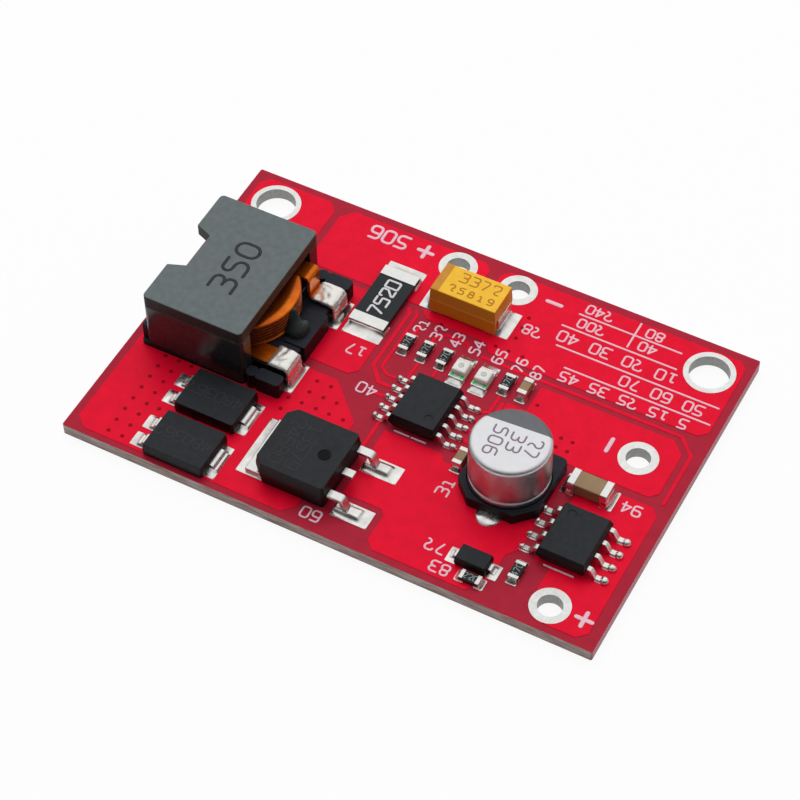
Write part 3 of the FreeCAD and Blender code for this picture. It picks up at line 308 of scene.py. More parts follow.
# %% Metal finishes
def make_metal(name, color, roughness, scale, depth, variation=0.08, metallic=1.0, sides=1.0):
    """A metal with a cloud in its colour, a wavy surface, and painted shade on its upright faces, which get
    the brightness `sides`.
    """
    finish = Finish(name, color, roughness, metallic=metallic)
    cloud = finish.noise(scale, 4.0)
    face = finish.ramp(cloud, (0.25, shade(color, 1 - variation)), (0.75, shade(color, 1 + variation)))
    # painted shade: upright faces take a darker copy of the colour
    if sides < 1:
        face = finish.mixed(finish.upward(0.4, 0.9), shade(color, sides), face)
    finish.color(face)
    finish.rough(finish.spread(finish.noise(scale * 2.3), roughness - 0.07, roughness + 0.12))
    finish.bump(finish.noise(scale * 1.4, 2.0), depth)
    return finish.material


tin_finish = make_metal("tin_plate", (0.80, 0.80, 0.78), 0.42, 2.0, 0.005)
solder_finish = make_metal("set_solder", (0.80, 0.79, 0.76), 0.24, 0.9, 0.006, 0.2)
lead_finish = make_metal("tinned_lead", (0.80, 0.80, 0.78), 0.30, 1.6, 0.002, 0.05)
# painted shade on the upright faces: the walls of the plated holes
plating_finish = make_metal("hole_plating", (0.84, 0.84, 0.82), 0.42, 2.0, 0.005, sides=0.32)
heavy_solder = make_metal("heavy_solder", (0.86, 0.84, 0.79), 0.26, 0.8, 0.010, 0.06, 0.8)
print("metal finishes ready")

# %% [markdown]
# ### Moulded, sintered and fired surfaces
# Black epoxy has a fine matt grain from its mould. Its sides see little but the board, so they get
# painted shade, and so do the carriers' sides. Ferrite is grey-green and a little mottled; its sides get
# painted shade, and the side beside the coil a painted warm reflection of the coil. Fired ceramics are
# plain and matt. One helper makes all but the ferrite lid, since they differ only in its numbers.

# %% Other finishes
def make_matt(name, color, roughness, grain_scale, depth, mottling=0.1, specular=0.35, sides=1.0):
    """A matt, mottled surface, with painted shade on its upright faces, which get the brightness `sides`."""
    finish = Finish(name, color, roughness, specular=specular)
    mottle = finish.noise(grain_scale * 0.25, 5.0)
    face = finish.ramp(mottle, (0.3, shade(color, 1 - mottling)), (0.7, shade(color, 1 + mottling)))
    # painted shade: upright faces take a darker copy of the colour
    if sides < 1:
        face = finish.mixed(finish.upward(0.3, 0.8), shade(color, sides), face)
    finish.color(face)
    finish.rough(finish.spread(finish.noise(grain_scale * 0.5), roughness - 0.06, roughness + 0.08))
    finish.bump(finish.noise(grain_scale, 3.0), depth, 0.6)
    return finish.material


# the last number darkens upright faces as painted shade: much on the epoxy, less on the carriers
epoxy_finish = make_matt("black_epoxy", (0.0145, 0.016, 0.020), 0.54, 9.0, 0.012, 0.18, 0.30, 0.08)
carrier_finish = make_matt("carrier_moulding", (0.014, 0.016, 0.024), 0.50, 6.0, 0.01, 0.15, 0.24, 0.3)
lacquer_finish = make_matt("lacquered_ferrite", (0.022, 0.023, 0.024), 0.24, 2.0, 0.002, 0.15, 0.45)
glaze_finish = make_matt("black_glaze", (0.012, 0.017, 0.020), 0.34, 5.0, 0.004, 0.1, 0.25)
ceramic_finish = make_matt("brown_ceramic", (0.33, 0.22, 0.12), 0.48, 6.0, 0.006, 0.08, 0.25)
adhesive_finish = make_matt("adhesive", (0.026, 0.034, 0.034), 0.36, 1.5, 0.02, 0.2, 0.3)
strip_finish = make_matt("lamp_strip", (0.62, 0.60, 0.50), 0.5, 5.0, 0.005)


def make_ferrite():
    """Ground ferrite: grey-green on its level faces, painted shade on its sides, and a painted warm
    reflection of the coil on the side that faces it.
    """
    finish = Finish("grey_ferrite", (0.132, 0.157, 0.160), 0.55, specular=0.2)
    face = finish.ramp(finish.noise(1.8, 5.0), (0.3, (0.127, 0.152, 0.155)), (0.7, (0.155, 0.182, 0.186)))
    # painted shade on the sides, and a painted warm reflection of the coil on the side facing +X
    coil_reflection_share = finish.spread(finish.facing("X"), 0.0, 1.0, (0.4, 0.8))
    side = finish.mixed(coil_reflection_share, (0.022, 0.018, 0.017), (0.075, 0.034, 0.018))
    finish.color(finish.mixed(finish.upward(0.25, 0.85), side, face))
    finish.rough(finish.spread(finish.noise(3.5), 0.48, 0.62))
    finish.bump(finish.noise(7.0, 3.0), 0.010, 0.6)
    return finish.material


ferrite_finish = make_ferrite()
print("matt finishes ready")

# %% [markdown]
# ### Enamel, yellow moulding and milky lens
# The wire's enamel is a clear orange coat over copper. Under the lid and between the turns it gets
# painted shade: a deeper colour that follows the place on the coil. Shadow alone could do that, but a
# painted colour looks the same under any light. The tantalum block is pressed in a mould of two halves,
# which leaves a fine line round it; its sides get painted shade. The lamps' lenses are milky plastic,
# so a little light passes into them.

# %% Enamel, tantalum moulding and lamp lens
# below the coil's top: the depth of its bright top turn, and the depth of the turns under that, whose level
# faces get painted shade
TOP_TURN, LOWER_TURNS = 0.36, 1.6


def make_enamel():
    """Orange enamel: bright on the coil's top and tails, with painted shade under the lid and between the
    turns.
    """
    finish = Finish("orange_enamel", (0.85, 0.22, 0.008), 0.27, metallic=0.75, specular=0.3)
    finish.shader.inputs["Coat Weight"].default_value = 0.12
    finish.shader.inputs["Coat Roughness"].default_value = 0.12
    coat = finish.ramp(finish.noise(1.2, 3.0), (0.3, (0.74, 0.140, 0.003)), (0.7, (0.90, 0.220, 0.008)))
    # painted shade: the coil is darker where it lies under the lid's edge
    lid_edge = box_mm("inductor_core_upper")[1][0]
    outside = finish.spread(finish.place("X"), 0.0, 1.0, ((lid_edge - 0.5) * MM, (lid_edge + 0.9) * MM))
    top = top_mm("inductor_coil") - TOP_TURN
    foot = top - LOWER_TURNS
    # painted shade: the level faces between the lower turns are near black
    below_top = finish.spread(finish.place("Z"), 1.0, 0.0, ((top - 0.02) * MM, (top + 0.02) * MM))
    above_foot = finish.spread(finish.place("Z"), 0.0, 1.0, (foot * MM, (foot + 0.05) * MM))
    gap_shade = finish.math("MULTIPLY", finish.math("MULTIPLY", below_top, above_foot), finish.upward(0.2, 0.7))
    lid_shaded_coat = finish.mixed(outside, (0.30, 0.040, 0.001), coat)
    finish.color(finish.mixed(gap_shade, lid_shaded_coat, (0.10, 0.012, 0.001)))
    finish.bump(finish.noise(2.5, 2.0), 0.01, 0.5)
    return finish.material


def make_yellow():
    """Yellow moulding with painted shade on its sides, where a fine line shows how the two mould halves met.
    """
    finish = Finish("yellow_moulding", (0.97, 0.54, 0.03), 0.42, specular=0.4)
    face = finish.ramp(finish.noise(1.5, 4.0), (0.3, (0.96, 0.50, 0.016)), (0.7, (1.0, 0.58, 0.030)))
    low, high = box_mm("tantalum_body")
    parting = (low[2] + 0.55 * (high[2] - low[2])) * MM
    away = finish.math("ABSOLUTE", finish.math("SUBTRACT", finish.place("Z"), parting))
    clear = finish.spread(away, 0.0, 1.0, (0.02 * MM, 0.05 * MM))
    # painted shade: the sides are darker than the top, except along the mould's parting line
    side = finish.mixed(clear, (0.95, 0.50, 0.06), (0.70, 0.29, 0.006))
    finish.color(finish.mixed(finish.upward(0.3, 0.8), side, face))
    finish.bump(finish.noise(9.0, 3.0), 0.01, 0.5)
    return finish.material


def make_lens():
    """Milky plastic that lets a little light in."""
    finish = Finish("milky_lens", (0.88, 0.87, 0.76), 0.22, specular=0.5)
    finish.shader.inputs["Transmission Weight"].default_value = 0.06
    finish.shader.inputs["Subsurface Weight"].default_value = 0.4
    finish.shader.inputs["Subsurface Scale"].default_value = 0.3 * MM
    finish.color(finish.ramp(finish.noise(2.0), (0.3, (0.86, 0.86, 0.80)), (0.7, (0.94, 0.94, 0.90))))
    finish.bump(finish.noise(6.0), 0.003, 0.5)
    return finish.material


enamel_finish = make_enamel()
yellow_finish = make_yellow()
lens_finish = make_lens()
print("enamel, moulding and lens ready")

# %% [markdown]
# ### The can's aluminium
# The can's wall and top are the same aluminium; the wall gets painted shade, so the top is brighter. A
# dark band is printed over one edge of the top. The band could be a thin piece of its own, but it
# follows the rounded shoulder, so here the material finds it by place and by how far the surface faces
# up.

# %% Can aluminium with its dark band
# the band's edge lies this far behind the can's middle, and is turned a little
CAN_BAND, CAN_TURN = 1.4, math.radians(4)


def make_can_finish():
    """Drawn aluminium with painted shade on its wall, so the top is brighter, and a dark band printed over
    one edge of the top.
    """
    finish = Finish("drawn_aluminium", (0.62, 0.62, 0.65), 0.40, metallic=1.0)
    cloud = finish.ramp(finish.noise(1.1, 4.0), (0.25, (0.96, 0.96, 0.96)), (0.75, (1.0, 1.0, 1.0)))
    # painted shade: the wall is darker than the top, though both are the same aluminium
    wall_shaded = finish.mixed(finish.upward(0.2, 0.9), (0.56, 0.55, 0.57), (0.80, 0.80, 0.82))
    back = finish.along(finish.where, (-math.sin(CAN_TURN), math.cos(CAN_TURN), 0))
    x, y = middle_mm("capacitor_can")
    start = (y * math.cos(CAN_TURN) - x * math.sin(CAN_TURN) + CAN_BAND) * MM
    in_band = finish.spread(back, 0.0, 1.0, (start - 0.01 * MM, start + 0.01 * MM))
    band = finish.math("MULTIPLY", in_band, finish.upward(0.45, 0.55))
    printed = finish.mixed(band, wall_shaded, (0.17, 0.175, 0.19))
    finish.color(finish.mixed(1.0, printed, cloud, "MULTIPLY"))
    finish.rough(finish.spread(finish.noise(2.5), 0.34, 0.46))
    finish.bump(finish.noise(1.5, 2.0), 0.0006)
    return finish.material


can_finish = make_can_finish()
print("can finish ready")

# %% [markdown]
# ### Inks
# The board's printed marks are a thin pinkish white. The parts carry laser marks and small prints.

# %% Ink finishes
silk_finish = make_matt("board_print", (0.90, 0.56, 0.66), 0.5, 8.0, 0.003, 0.05)
white_ink = make_matt("white_print", (0.72, 0.74, 0.74), 0.5, 8.0, 0.003, 0.06)
dark_ink = make_matt("dark_print", (0.020, 0.022, 0.024), 0.55, 8.0, 0.003, 0.1)
laser_mark = make_matt("laser_mark", (0.026, 0.027, 0.028), 0.6, 8.0, 0.003, 0.1)
can_ink = make_matt("can_print", (0.27, 0.20, 0.27), 0.4, 8.0, 0.003, 0.1)
pale_ink = make_matt("faint_print", (0.34, 0.36, 0.33), 0.5, 8.0, 0.003, 0.06)
die_finish = make_matt("lamp_die", (0.48, 0.47, 0.40), 0.3, 8.0, 0.003, 0.06, 0.5)
dimple_disc_finish = make_matt("dimple_floor", (0.004, 0.004, 0.005), 0.4, 8.0, 0.003, 0.06, 0.1)
brown_ink = make_matt("brown_print", (0.50, 0.21, 0.010), 0.5, 8.0, 0.003, 0.1)
stripe_ink = make_matt("end_stripe", (0.62, 0.27, 0.025), 0.42, 6.0, 0.004, 0.06)
green_ink = make_matt("green_mark", (0.01, 0.62, 0.16), 0.4, 8.0, 0.003, 0.06)
print("inks ready")

# %% [markdown]
# ## Finishes on the CAD solids
# A solid whose shape is right keeps its mesh and only gets a material in its slot.

# %% Give each node its finish
FINISHES = [
    ("printed_board", board_finish),
    ("_eyelet", plating_finish),
    ("solder_pads", tin_finish),
    ("inductor_terminal_tinning", solder_finish),
    ("inductor_core_lower", lacquer_finish),
    ("inductor_core_upper", ferrite_finish),
    ("inductor_coil", enamel_finish),
    ("inductor_base", carrier_finish),
    ("inductor_glue", adhesive_finish),
    ("can_base", carrier_finish),
    ("capacitor_can", can_finish),
    ("tantalum_body", yellow_finish),
    ("ceramic_body", ceramic_finish),
    ("shunt_body", glaze_finish),
    ("resistor_body", glaze_finish),
    ("_lens", lens_finish),
    ("lamp_base", strip_finish),
    ("_body", epoxy_finish),
]


def finish_for(name):
    """The finish of a CAD node, by the first ending that fits its name. Leads and caps are tinned."""
    return next((finish for ending, finish in FINISHES if name.endswith(ending)), lead_finish)


for name, node in nodes.items():
    node.data.materials.clear()
    node.data.materials.append(finish_for(name))
print("finishes given to", len(nodes), "nodes")

# %% [markdown]
# ## Soft edges
# A moulded or sintered edge is never perfectly sharp: it catches a thin line of light. A copy of the
# solid is merged, its flat faces are joined again, and a Bevel modifier rounds the edges that turn
# sharply. The copy then stands for the node.

# %% Rounded copies of the larger solids
SHARP, FLAT = math.radians(25), math.radians(1)
SAME_POINT = 0.0005 * MM


def merged_node(name):
    """An editable copy of a CAD node, its loose triangles joined at their common points."""
    work = bmesh.new()
    work.from_mesh(nodes[name].data)
    bmesh.ops.remove_doubles(work, verts=work.verts, dist=SAME_POINT)
    return work


def soft_copy(node_name, width):
    """A copy of a CAD solid with small rounded edges."""
    work = merged_node(node_name)
    bmesh.ops.dissolve_limit(work, angle_limit=FLAT, verts=work.verts, edges=work.edges)
    mesh = nodes[node_name].data.copy()
    work.to_mesh(mesh)
    work.free()
    mesh.shade_smooth()
    mesh.set_sharp_from_angle(angle=SHARP)
    piece = add_object(node_name + "_soft", mesh)
    bevel = piece.modifiers.new("soft_edge", "BEVEL")
    bevel.width = width * MM
    bevel.segments = 2
    bevel.limit_method = "ANGLE"
    bevel.angle_limit = SHARP
    bevel.use_clamp_overlap = True
    bevel.harden_normals = True
    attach(piece, "root")
    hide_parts(node_name)


SOFT_EDGES = {
    "inductor_core_lower": 0.08,
    "inductor_core_upper": 0.10,
    "inductor_base": 0.06,
    "front_diode_body": 0.06,
    "rear_diode_body": 0.06,
    "transistor_body": 0.07,
    "tantalum_body": 0.07,
    "charger_chip_body": 0.05,
    "switch_chip_body": 0.05,
    "signal_diode_body": 0.04,
    "can_base": 0.06,
    "transistor_tab": 0.07,
    "transistor_leads": 0.07,
    "tantalum_terminals": 0.04,
    "shunt_body": 0.03,
    "shunt_caps": 0.09,
    "bulk_ceramic_body": 0.04,
    "bulk_ceramic_caps": 0.08,
    "left_lamp_lens": 0.16,
    "right_lamp_lens": 0.16,
}
for name in nodes:
    if name.endswith(("diode_leads", "chip_leads", "can_leads")):
        SOFT_EDGES[name] = 0.035
    elif name.endswith(("resistor_caps", "row_ceramic_caps", "input_ceramic_caps")):
        SOFT_EDGES[name] = 0.06
for name, width in SOFT_EDGES.items():
    soft_copy(name, width)
print("soft copies:", len(SOFT_EDGES))

# %% [markdown]
# ## The can
# The can is drawn from sheet in one stroke: a softly rounded shoulder, a straight wall, and a crimp that
# grips the rubber plug. A round piece is easiest to make as on a lathe: its profile is a short chain of
# points and arcs, and each point is turned round the axis in fine steps.

# %% Can on the lathe
def skin(rings, name):
    """A closed skin over a chain of rings of points, capped at both ends."""
    work = bmesh.new()
    rings = [[work.verts.new(spot) for spot in ring] for ring in rings]
    for ring, after in zip(rings, rings[1:]):
        for here in range(len(ring)):
            there = (here + 1) % len(ring)
            work.faces.new((ring[here], ring[there], after[there], after[here]))
    work.faces.new(rings[0][::-1])
    work.faces.new(rings[-1])
    bmesh.ops.recalc_face_normals(work, faces=work.faces)
    return mesh_from(work, name)


def turned_mesh(profile, x, y, count=96):
    """A solid of revolution in millimetres from (radius, level) points, bottom to top."""
    turns = [2 * math.pi * step / count for step in range(count)]
    rings = [[(x + radius * math.cos(turn), y + radius * math.sin(turn), level) for turn in turns]
             for radius, level in profile]
    mesh = skin(rings, "turned")
    mesh.shade_smooth()
    return mesh


def arc(radius, level, size, start, end, steps):
    """Points of an arc round (radius, level), by angles in degrees."""
    turns = [math.radians(start + (end - start) * step / steps) for step in range(steps + 1)]
    return [(radius + size * math.cos(turn), level + size * math.sin(turn)) for turn in turns]


# radii of the rounded shoulder and foot, and of the edges under and over the crimp
SHOULDER, FOOT, UNDER, OVER = 0.42, 0.14, 0.12, 0.10
can_low, can_high = box_mm("capacitor_can")
wall = (can_high[0] - can_low[0]) / 2
foot, crown = can_low[2], can_high[2]
can_profile = [(wall - 0.5, foot)] + arc(wall - FOOT, foot + FOOT, FOOT, -90, 0, 4)
can_profile += arc(wall - UNDER, foot + 0.62, UNDER, 0, 70, 5) + [(wall - 0.13, foot + 0.82)]
can_profile += arc(wall - OVER, foot + 1.02, OVER, -60, 0, 4)
can_profile += arc(wall - SHOULDER, crown - SHOULDER, SHOULDER, 0, 90, 12)
can_profile += [(wall - SHOULDER - 0.05, crown)]
can_mesh = turned_mesh(can_profile, *middle_mm("capacitor_can"))
finish_piece(can_mesh, "turned_can", [can_finish], ["capacitor_can"])

# %% [markdown]
# ## Copper under the mask
# Copper areas stand a few hundredths of a millimetre proud of the laminate, and the mask runs over
# them in a soft step. Each area is a flat filled curve with holes, given a thickness and a bevel and
# turned into a mesh. Curves fill holes by themselves, which saves cutting them.

# %% Flat films from outlines
def plain_mesh(holder):
    """The mesh that an object's curve or modifiers make. The object itself is removed."""
    depsgraph = bpy.context.evaluated_depsgraph_get()
    mesh = bpy.data.meshes.new_from_object(holder.evaluated_get(depsgraph))
    bpy.data.objects.remove(holder)
    return mesh


def film_mesh(loops, low, high, edge):
    """A flat film with a bevelled edge, from closed outlines. Inner outlines are holes."""
    curve = bpy.data.curves.new("film", "CURVE")
    curve.dimensions = "2D"
    curve.fill_mode = "BOTH"
    curve.extrude = (high - low) / 2 - edge
    curve.bevel_depth = edge
    curve.bevel_resolution = 1
    curve.offset = -edge
    for loop in loops:
        spline = curve.splines.new("POLY")
        spline.points.add(len(loop) - 1)
        for point, (x, y) in zip(spline.points, loop):
            point.co = (x, y, 0, 1)
        spline.use_cyclic_u = True
    mesh = plain_mesh(add_object("film", curve))
    bpy.data.curves.remove(curve)
    mesh.transform(Matrix.Translation((0, 0, (low + high) / 2)))
    return mesh


def ring_loop(x, y, radius, count=48):
    """A circle as a closed outline."""
    turns = [2 * math.pi * step / count for step in range(count)]
    return [(x + radius * math.cos(turn), y + radius * math.sin(turn)) for turn in turns]


def track_loop(points, width):
    """The outline of a track of even width along a chain of points."""
    path = [Vector(point) for point in points]
    sides = ([], [])
    for here, point in enumerate(path):
        ahead = path[min(here + 1, len(path) - 1)] - point
        behind = point - path[max(here - 1, 0)]
        ahead = ahead.normalized() if ahead.length else behind.normalized()
        behind = behind.normalized() if behind.length else ahead
        across_a, across_b = Vector((-ahead.y, ahead.x)), Vector((-behind.y, behind.x))
        miter = (across_a + across_b).normalized()
        reach = width / 2 / max(0.3, miter.dot(across_a))
        sides[0].append(tuple(point + miter * reach))
        sides[1].append(tuple(point - miter * reach))
    return sides[0] + sides[1][::-1]


print("points in the outline of a circle:", len(ring_loop(0, 0, 1)))


# %% Copper areas and tracks
# the film reaches this far over the eyelet's ring, and its edges fall softly
RING_OVERLAP = 0.2
AREA_EDGE, TRACK_EDGE = 0.015, 0.012
drills = []
for name in nodes:
    if name.endswith("_eyelet"):
        low, high = box_mm(name)
        drills.append((*middle_mm(name), (high[0] - low[0]) / 2 - RING_OVERLAP))

COPPER_AREAS = [
    # behind the inductor, round the left mounting hole
    [(-21.35, -1.0), (-21.35, 13.7), (-20.65, 14.4), (-15.2, 14.4), (-14.4, 13.6), (-14.4, -1.0)],
    # battery plus
    [(-13.8, 13.3), (-12.9, 14.3), (-1.1, 14.3), (-0.5, 13.7), (-0.5, 7.9), (-13.8, 7.9)],
    # battery minus and the table of figures
    [(0.5, 13.7), (1.1, 14.3), (20.7, 14.3), (21.35, 13.6), (21.35, 6.75), (20.7, 6.1), (3.2, 6.1),
     (2.6, 6.95), (-2.6, 6.95), (-3.4, 7.75), (0.5, 7.95)],
    # front left, under the diodes' left leads
    [(-21.35, -1.6), (-11.6, -1.6), (-11.6, -5.6), (-13.6, -5.6), (-13.6, -14.5), (-20.4, -14.5),
     (-21.35, -13.6)],
    # between the inductor, the diodes and the transistor
    [(-11.2, -1.6), (-5.75, -1.6), (-2.62, -4.7), (-2.62, -13.5), (-3.5, -14.45), (-13.2, -14.45),
     (-13.2, -6.0), (-11.2, -6.0)],
    # current shunt's front end
    [(-11.0, 7.4), (-5.35, 7.4), (-4.75, 6.8), (-4.75, -0.1), (-5.35, -0.7), (-11.0, -0.7)],
    # middle and front
    [(-0.25, -4.25), (4.6, -4.25), (5.0, -4.85), (8.2, -4.85), (9.0, -2.0), (13.6, -2.0), (13.6, -9.4),
     (12.85, -10.3), (12.85, -13.2), (11.6, -14.4), (4.1, -14.4), (3.4, -13.7), (3.4, -11.3),
     (3.0, -10.85), (-0.25, -10.85)],
    # panel plus
    [(15.0, -1.5), (20.5, -1.5), (21.1, -2.2), (21.1, -13.7), (20.4, -14.4), (17.3, -14.4),
     (16.2, -13.3), (16.2, -9.75), (14.9, -9.75)],
    # panel minus
    [(8.3, 4.9), (19.3, 4.9), (20.4, 3.9), (20.4, -0.2), (19.8, -0.8), (8.6, -0.8), (6.7, 1.0),
     (6.7, 2.35), (8.3, 2.35)],
]
# a chain of points and a width
COPPER_TRACKS = [
    ([(2.9, 5.5), (19.65, 5.5), (21.05, 4.1), (21.05, -1.0)], 0.28),
    ([(-4.4, 7.3), (-4.05, 6.9), (-4.05, 1.0), (-2.9, -0.35), (-1.9, -0.35)], 0.3),
    ([(-3.75, 7.35), (-3.4, 6.9), (-3.4, 1.1), (-2.7, 0.6), (-1.9, 0.6)], 0.24),
    ([(-1.1, 2.9), (-1.1, 1.0)], 0.22),
    ([(-2.7, 5.0), (-2.7, 6.1)], 0.3),
    ([(-1.1, 5.0), (-1.1, 5.6), (-0.4, 6.2), (1.4, 6.2), (1.9, 5.5)], 0.24),
    ([(-1.0, -3.55), (-1.0, -6.8)], 0.3),
    ([(-2.9, -1.4), (-1.9, -1.4)], 0.3),
    ([(0.5, 2.9), (0.5, 2.0)], 0.24),
    ([(5.4, -0.4), (6.4, -0.4), (6.4, 2.2)], 0.3),
    ([(5.9, 2.9), (5.9, 0.9), (5.3, 0.6)], 0.24),
    ([(5.3, -1.4), (6.9, -1.4)], 0.5),
    ([(5.3, -2.35), (7.4, -2.35)], 0.4),
    ([(5.3, -3.35), (7.0, -3.35)], 0.4),
]


def inside(x, y, loop):
    """True if a point lies within a closed outline."""
    hit = False
    for (xa, ya), (xb, yb) in zip(loop, loop[1:] + loop[:1]):
        if (ya > y) != (yb > y) and x < (xb - xa) * (y - ya) / (yb - ya) + xa:
            hit = not hit
    return hit


copper = []
for area in COPPER_AREAS:
    holes = [ring_loop(*drill) for drill in drills if inside(*drill[:2], area)]
    copper.append(film_mesh([area] + holes, BOARD_TOP, FILM_TOP, AREA_EDGE))
for points, width in COPPER_TRACKS:
    copper.append(film_mesh([track_loop(points, width)], BOARD_TOP, FILM_TOP, TRACK_EDGE))
finish_piece(join_meshes(copper, "copper_areas"), "copper_areas", [copper_finish])

# %% [markdown]
# ### Pads
# The windows in the mask have round corners, and the narrow ones under chip leads have round ends.
# The CAD pads are plain boxes, so their plan boxes are read back and drawn again as rounded films.

# %% Rounded pads
def loose_boxes(name):
    """Plan boxes of the separate solids in a node, in millimetres."""
    work = merged_node(name)
    boxes, seen = [], set()
    for start in work.verts:
        if start in seen:
            continue
        seen.add(start)
        waiting, island = [start], []
        while waiting:
            vert = waiting.pop()
            island.append(vert.co / MM)
            for edge in vert.link_edges:
                other = edge.other_vert(vert)
                if other not in seen:
                    seen.add(other)
                    waiting.append(other)
        xs, ys = [co.x for co in island], [co.y for co in island]
        boxes.append((min(xs), min(ys), max(xs), max(ys)))
    work.free()
    return boxes


def rounded_loop(box, radius, steps=5):
    """The outline of a box with round corners."""
    x_low, y_low, x_high, y_high = box
    centres = [(x_high - radius, y_high - radius), (x_low + radius, y_high - radius),
               (x_low + radius, y_low + radius), (x_high - radius, y_low + radius)]
    loop = []
    for quarter, (x, y) in enumerate(centres):
        for step in range(steps + 1):
            angle = (quarter + step / steps) * math.pi / 2
            loop.append((x + radius * math.cos(angle), y + radius * math.sin(angle)))
    return loop


# corner radii, the last as a share of the pad's narrow side
PLAIN_CORNER, SMALL_CORNER, ROUND_END = 0.06, 0.12, 0.45
# the sizes that tell the families of pads apart, and what is taken off two of them
NARROW, SHORT, LONG = 0.7, 1.1, 2.0
LEFT_CUT, SIDE_CUT = 0.12, 0.07
PAD_EDGE = 0.012
can_box = box_mm("can_base")
chips = [middle_mm("charger_chip_body")[0], middle_mm("switch_chip_body")[0]]
pads = []
for x_low, y_low, x_high, y_high in loose_boxes("solder_pads"):
    narrow, long = sorted((x_high - x_low, y_high - y_low))
    radius = PLAIN_CORNER
    if narrow < NARROW:
        # under a chip's lead: round ends, and a shorter pad on the chip's left
        radius = narrow * ROUND_END
        chip_x = min(chips, key=lambda x: abs(x - x_low))
        x_low += LEFT_CUT if x_low < chip_x else 0.0
    elif long < SHORT:
        # under a small resistor or ceramic: soft corners, and a little narrower
        radius = SMALL_CORNER
        aside = SIDE_CUT if x_high - x_low > y_high - y_low else 0.0
        x_low, x_high = x_low + aside, x_high - aside
    elif can_box[0][0] < (x_low + x_high) / 2 < can_box[1][0] and y_high - y_low > LONG:
        # under the can's leads: round ends
        radius = narrow * ROUND_END
    outline = rounded_loop((x_low, y_low, x_high, y_high), radius)
    pads.append(film_mesh([outline], BOARD_TOP, PAD_TOP, PAD_EDGE))
print("pads", len(pads))
finish_piece(join_meshes(pads, "pads"), "rounded_pads", [tin_finish], ["solder_pads"])

# %% [markdown]
# ## Vias
# Small plated holes tie the copper to the board's other side. The mask covers them and sinks a
# little into each. Each is drawn as a raised rim round a dark dot, whose colour is partly the mask
# over the hole and partly painted shade of the sunk hollow. They repeat, so Geometry Nodes places one
# rim and one dot on every point of a mesh that has no faces.

# %% Geometry Nodes helpers
class GeometryTree(NodeTree):
    """A Geometry Nodes tree under construction, with named inputs."""

    def __init__(self, name):
        super().__init__(bpy.data.node_groups.new(name, "GeometryNodeTree"))
        for way in ("INPUT", "OUTPUT"):
            self.tree.interface.new_socket("Geometry", in_out=way, socket_type="NodeSocketGeometry")
        self.sockets = {}
        self.into = self.add("NodeGroupInput")
        self.out = self.add("NodeGroupOutput")

    def size(self, name, kind="NodeSocketFloat"):
        """A named input of the tree."""
        socket = self.tree.interface.new_socket(name, in_out="INPUT", socket_type=kind)
        self.sockets[name] = socket.identifier
        return self.into.outputs[name]

    def joined(self, *parts):
        """Several geometries as one."""
        node = self.add("GeometryNodeJoinGeometry")
        for part in parts:
            self.feed(part, node.inputs["Geometry"])
        return node.outputs["Geometry"]

    def on_points(self, points, instance, **inputs):
        """An instance on every point."""
        node = self.add("GeometryNodeInstanceOnPoints", Points=points, Instance=instance, **inputs)
        return node.outputs["Instances"]

    def real(self, instances):
        """Instances made into one mesh."""
        return self.add("GeometryNodeRealizeInstances", Geometry=instances).outputs["Geometry"]

    def smooth(self, geometry):
        return self.add("GeometryNodeSetShadeSmooth", Geometry=geometry).outputs["Geometry"]

    def painted(self, geometry, material):
        node = self.add("GeometryNodeSetMaterial", Geometry=geometry, Material=material)
        return node.outputs["Geometry"]

    def finish(self, geometry):
        """Set the tree's result."""
        self.feed(geometry, self.out.inputs["Geometry"])
        return self


print("geometry helpers:", helper_names(GeometryTree))


def points_object(name, places):
    """A mesh of loose points, each with a turn in radians kept as an attribute."""
    mesh = bpy.data.meshes.new(name)
    mesh.from_pydata([place[:3] for place in places], [], [])
    turns = mesh.attributes.new("turn", "FLOAT", "POINT")
    turns.data.foreach_set("value", [place[3] if len(place) > 3 else 0.0 for place in places])
    return add_object(name, mesh)


def grow(holder, builder, **sizes):
    """Run a tree on an object and return the result as a plain mesh."""
    modifier = holder.modifiers.new("grow", "NODES")
    modifier.node_group = builder.tree
    for name, value in sizes.items():
        modifier[builder.sockets[name.replace("_", " ")]] = value
    return plain_mesh(holder)


# %% Rows of vias
def make_via_tree():
    """A raised rim round a dark dot."""
    builder = GeometryTree("vias")
    radius, wire = builder.size("Rim radius"), builder.size("Rim wire")
    circle = builder.add("GeometryNodeCurvePrimitiveCircle", Resolution=16, Radius=radius)
    section = builder.add("GeometryNodeCurvePrimitiveCircle", Resolution=6, Radius=wire)
    rim = builder.add("GeometryNodeCurveToMesh", Curve=circle.outputs["Curve"],
                      Profile_Curve=section.outputs["Curve"])
    dot = builder.add("GeometryNodeMeshCone", Vertices=16, Radius_Bottom=radius, Depth=wire)
    via = builder.joined(builder.painted(rim.outputs["Mesh"], copper_finish),
                         builder.painted(dot.outputs["Mesh"], via_finish))
    return builder.finish(builder.real(builder.on_points(builder.into.outputs["Geometry"], via)))


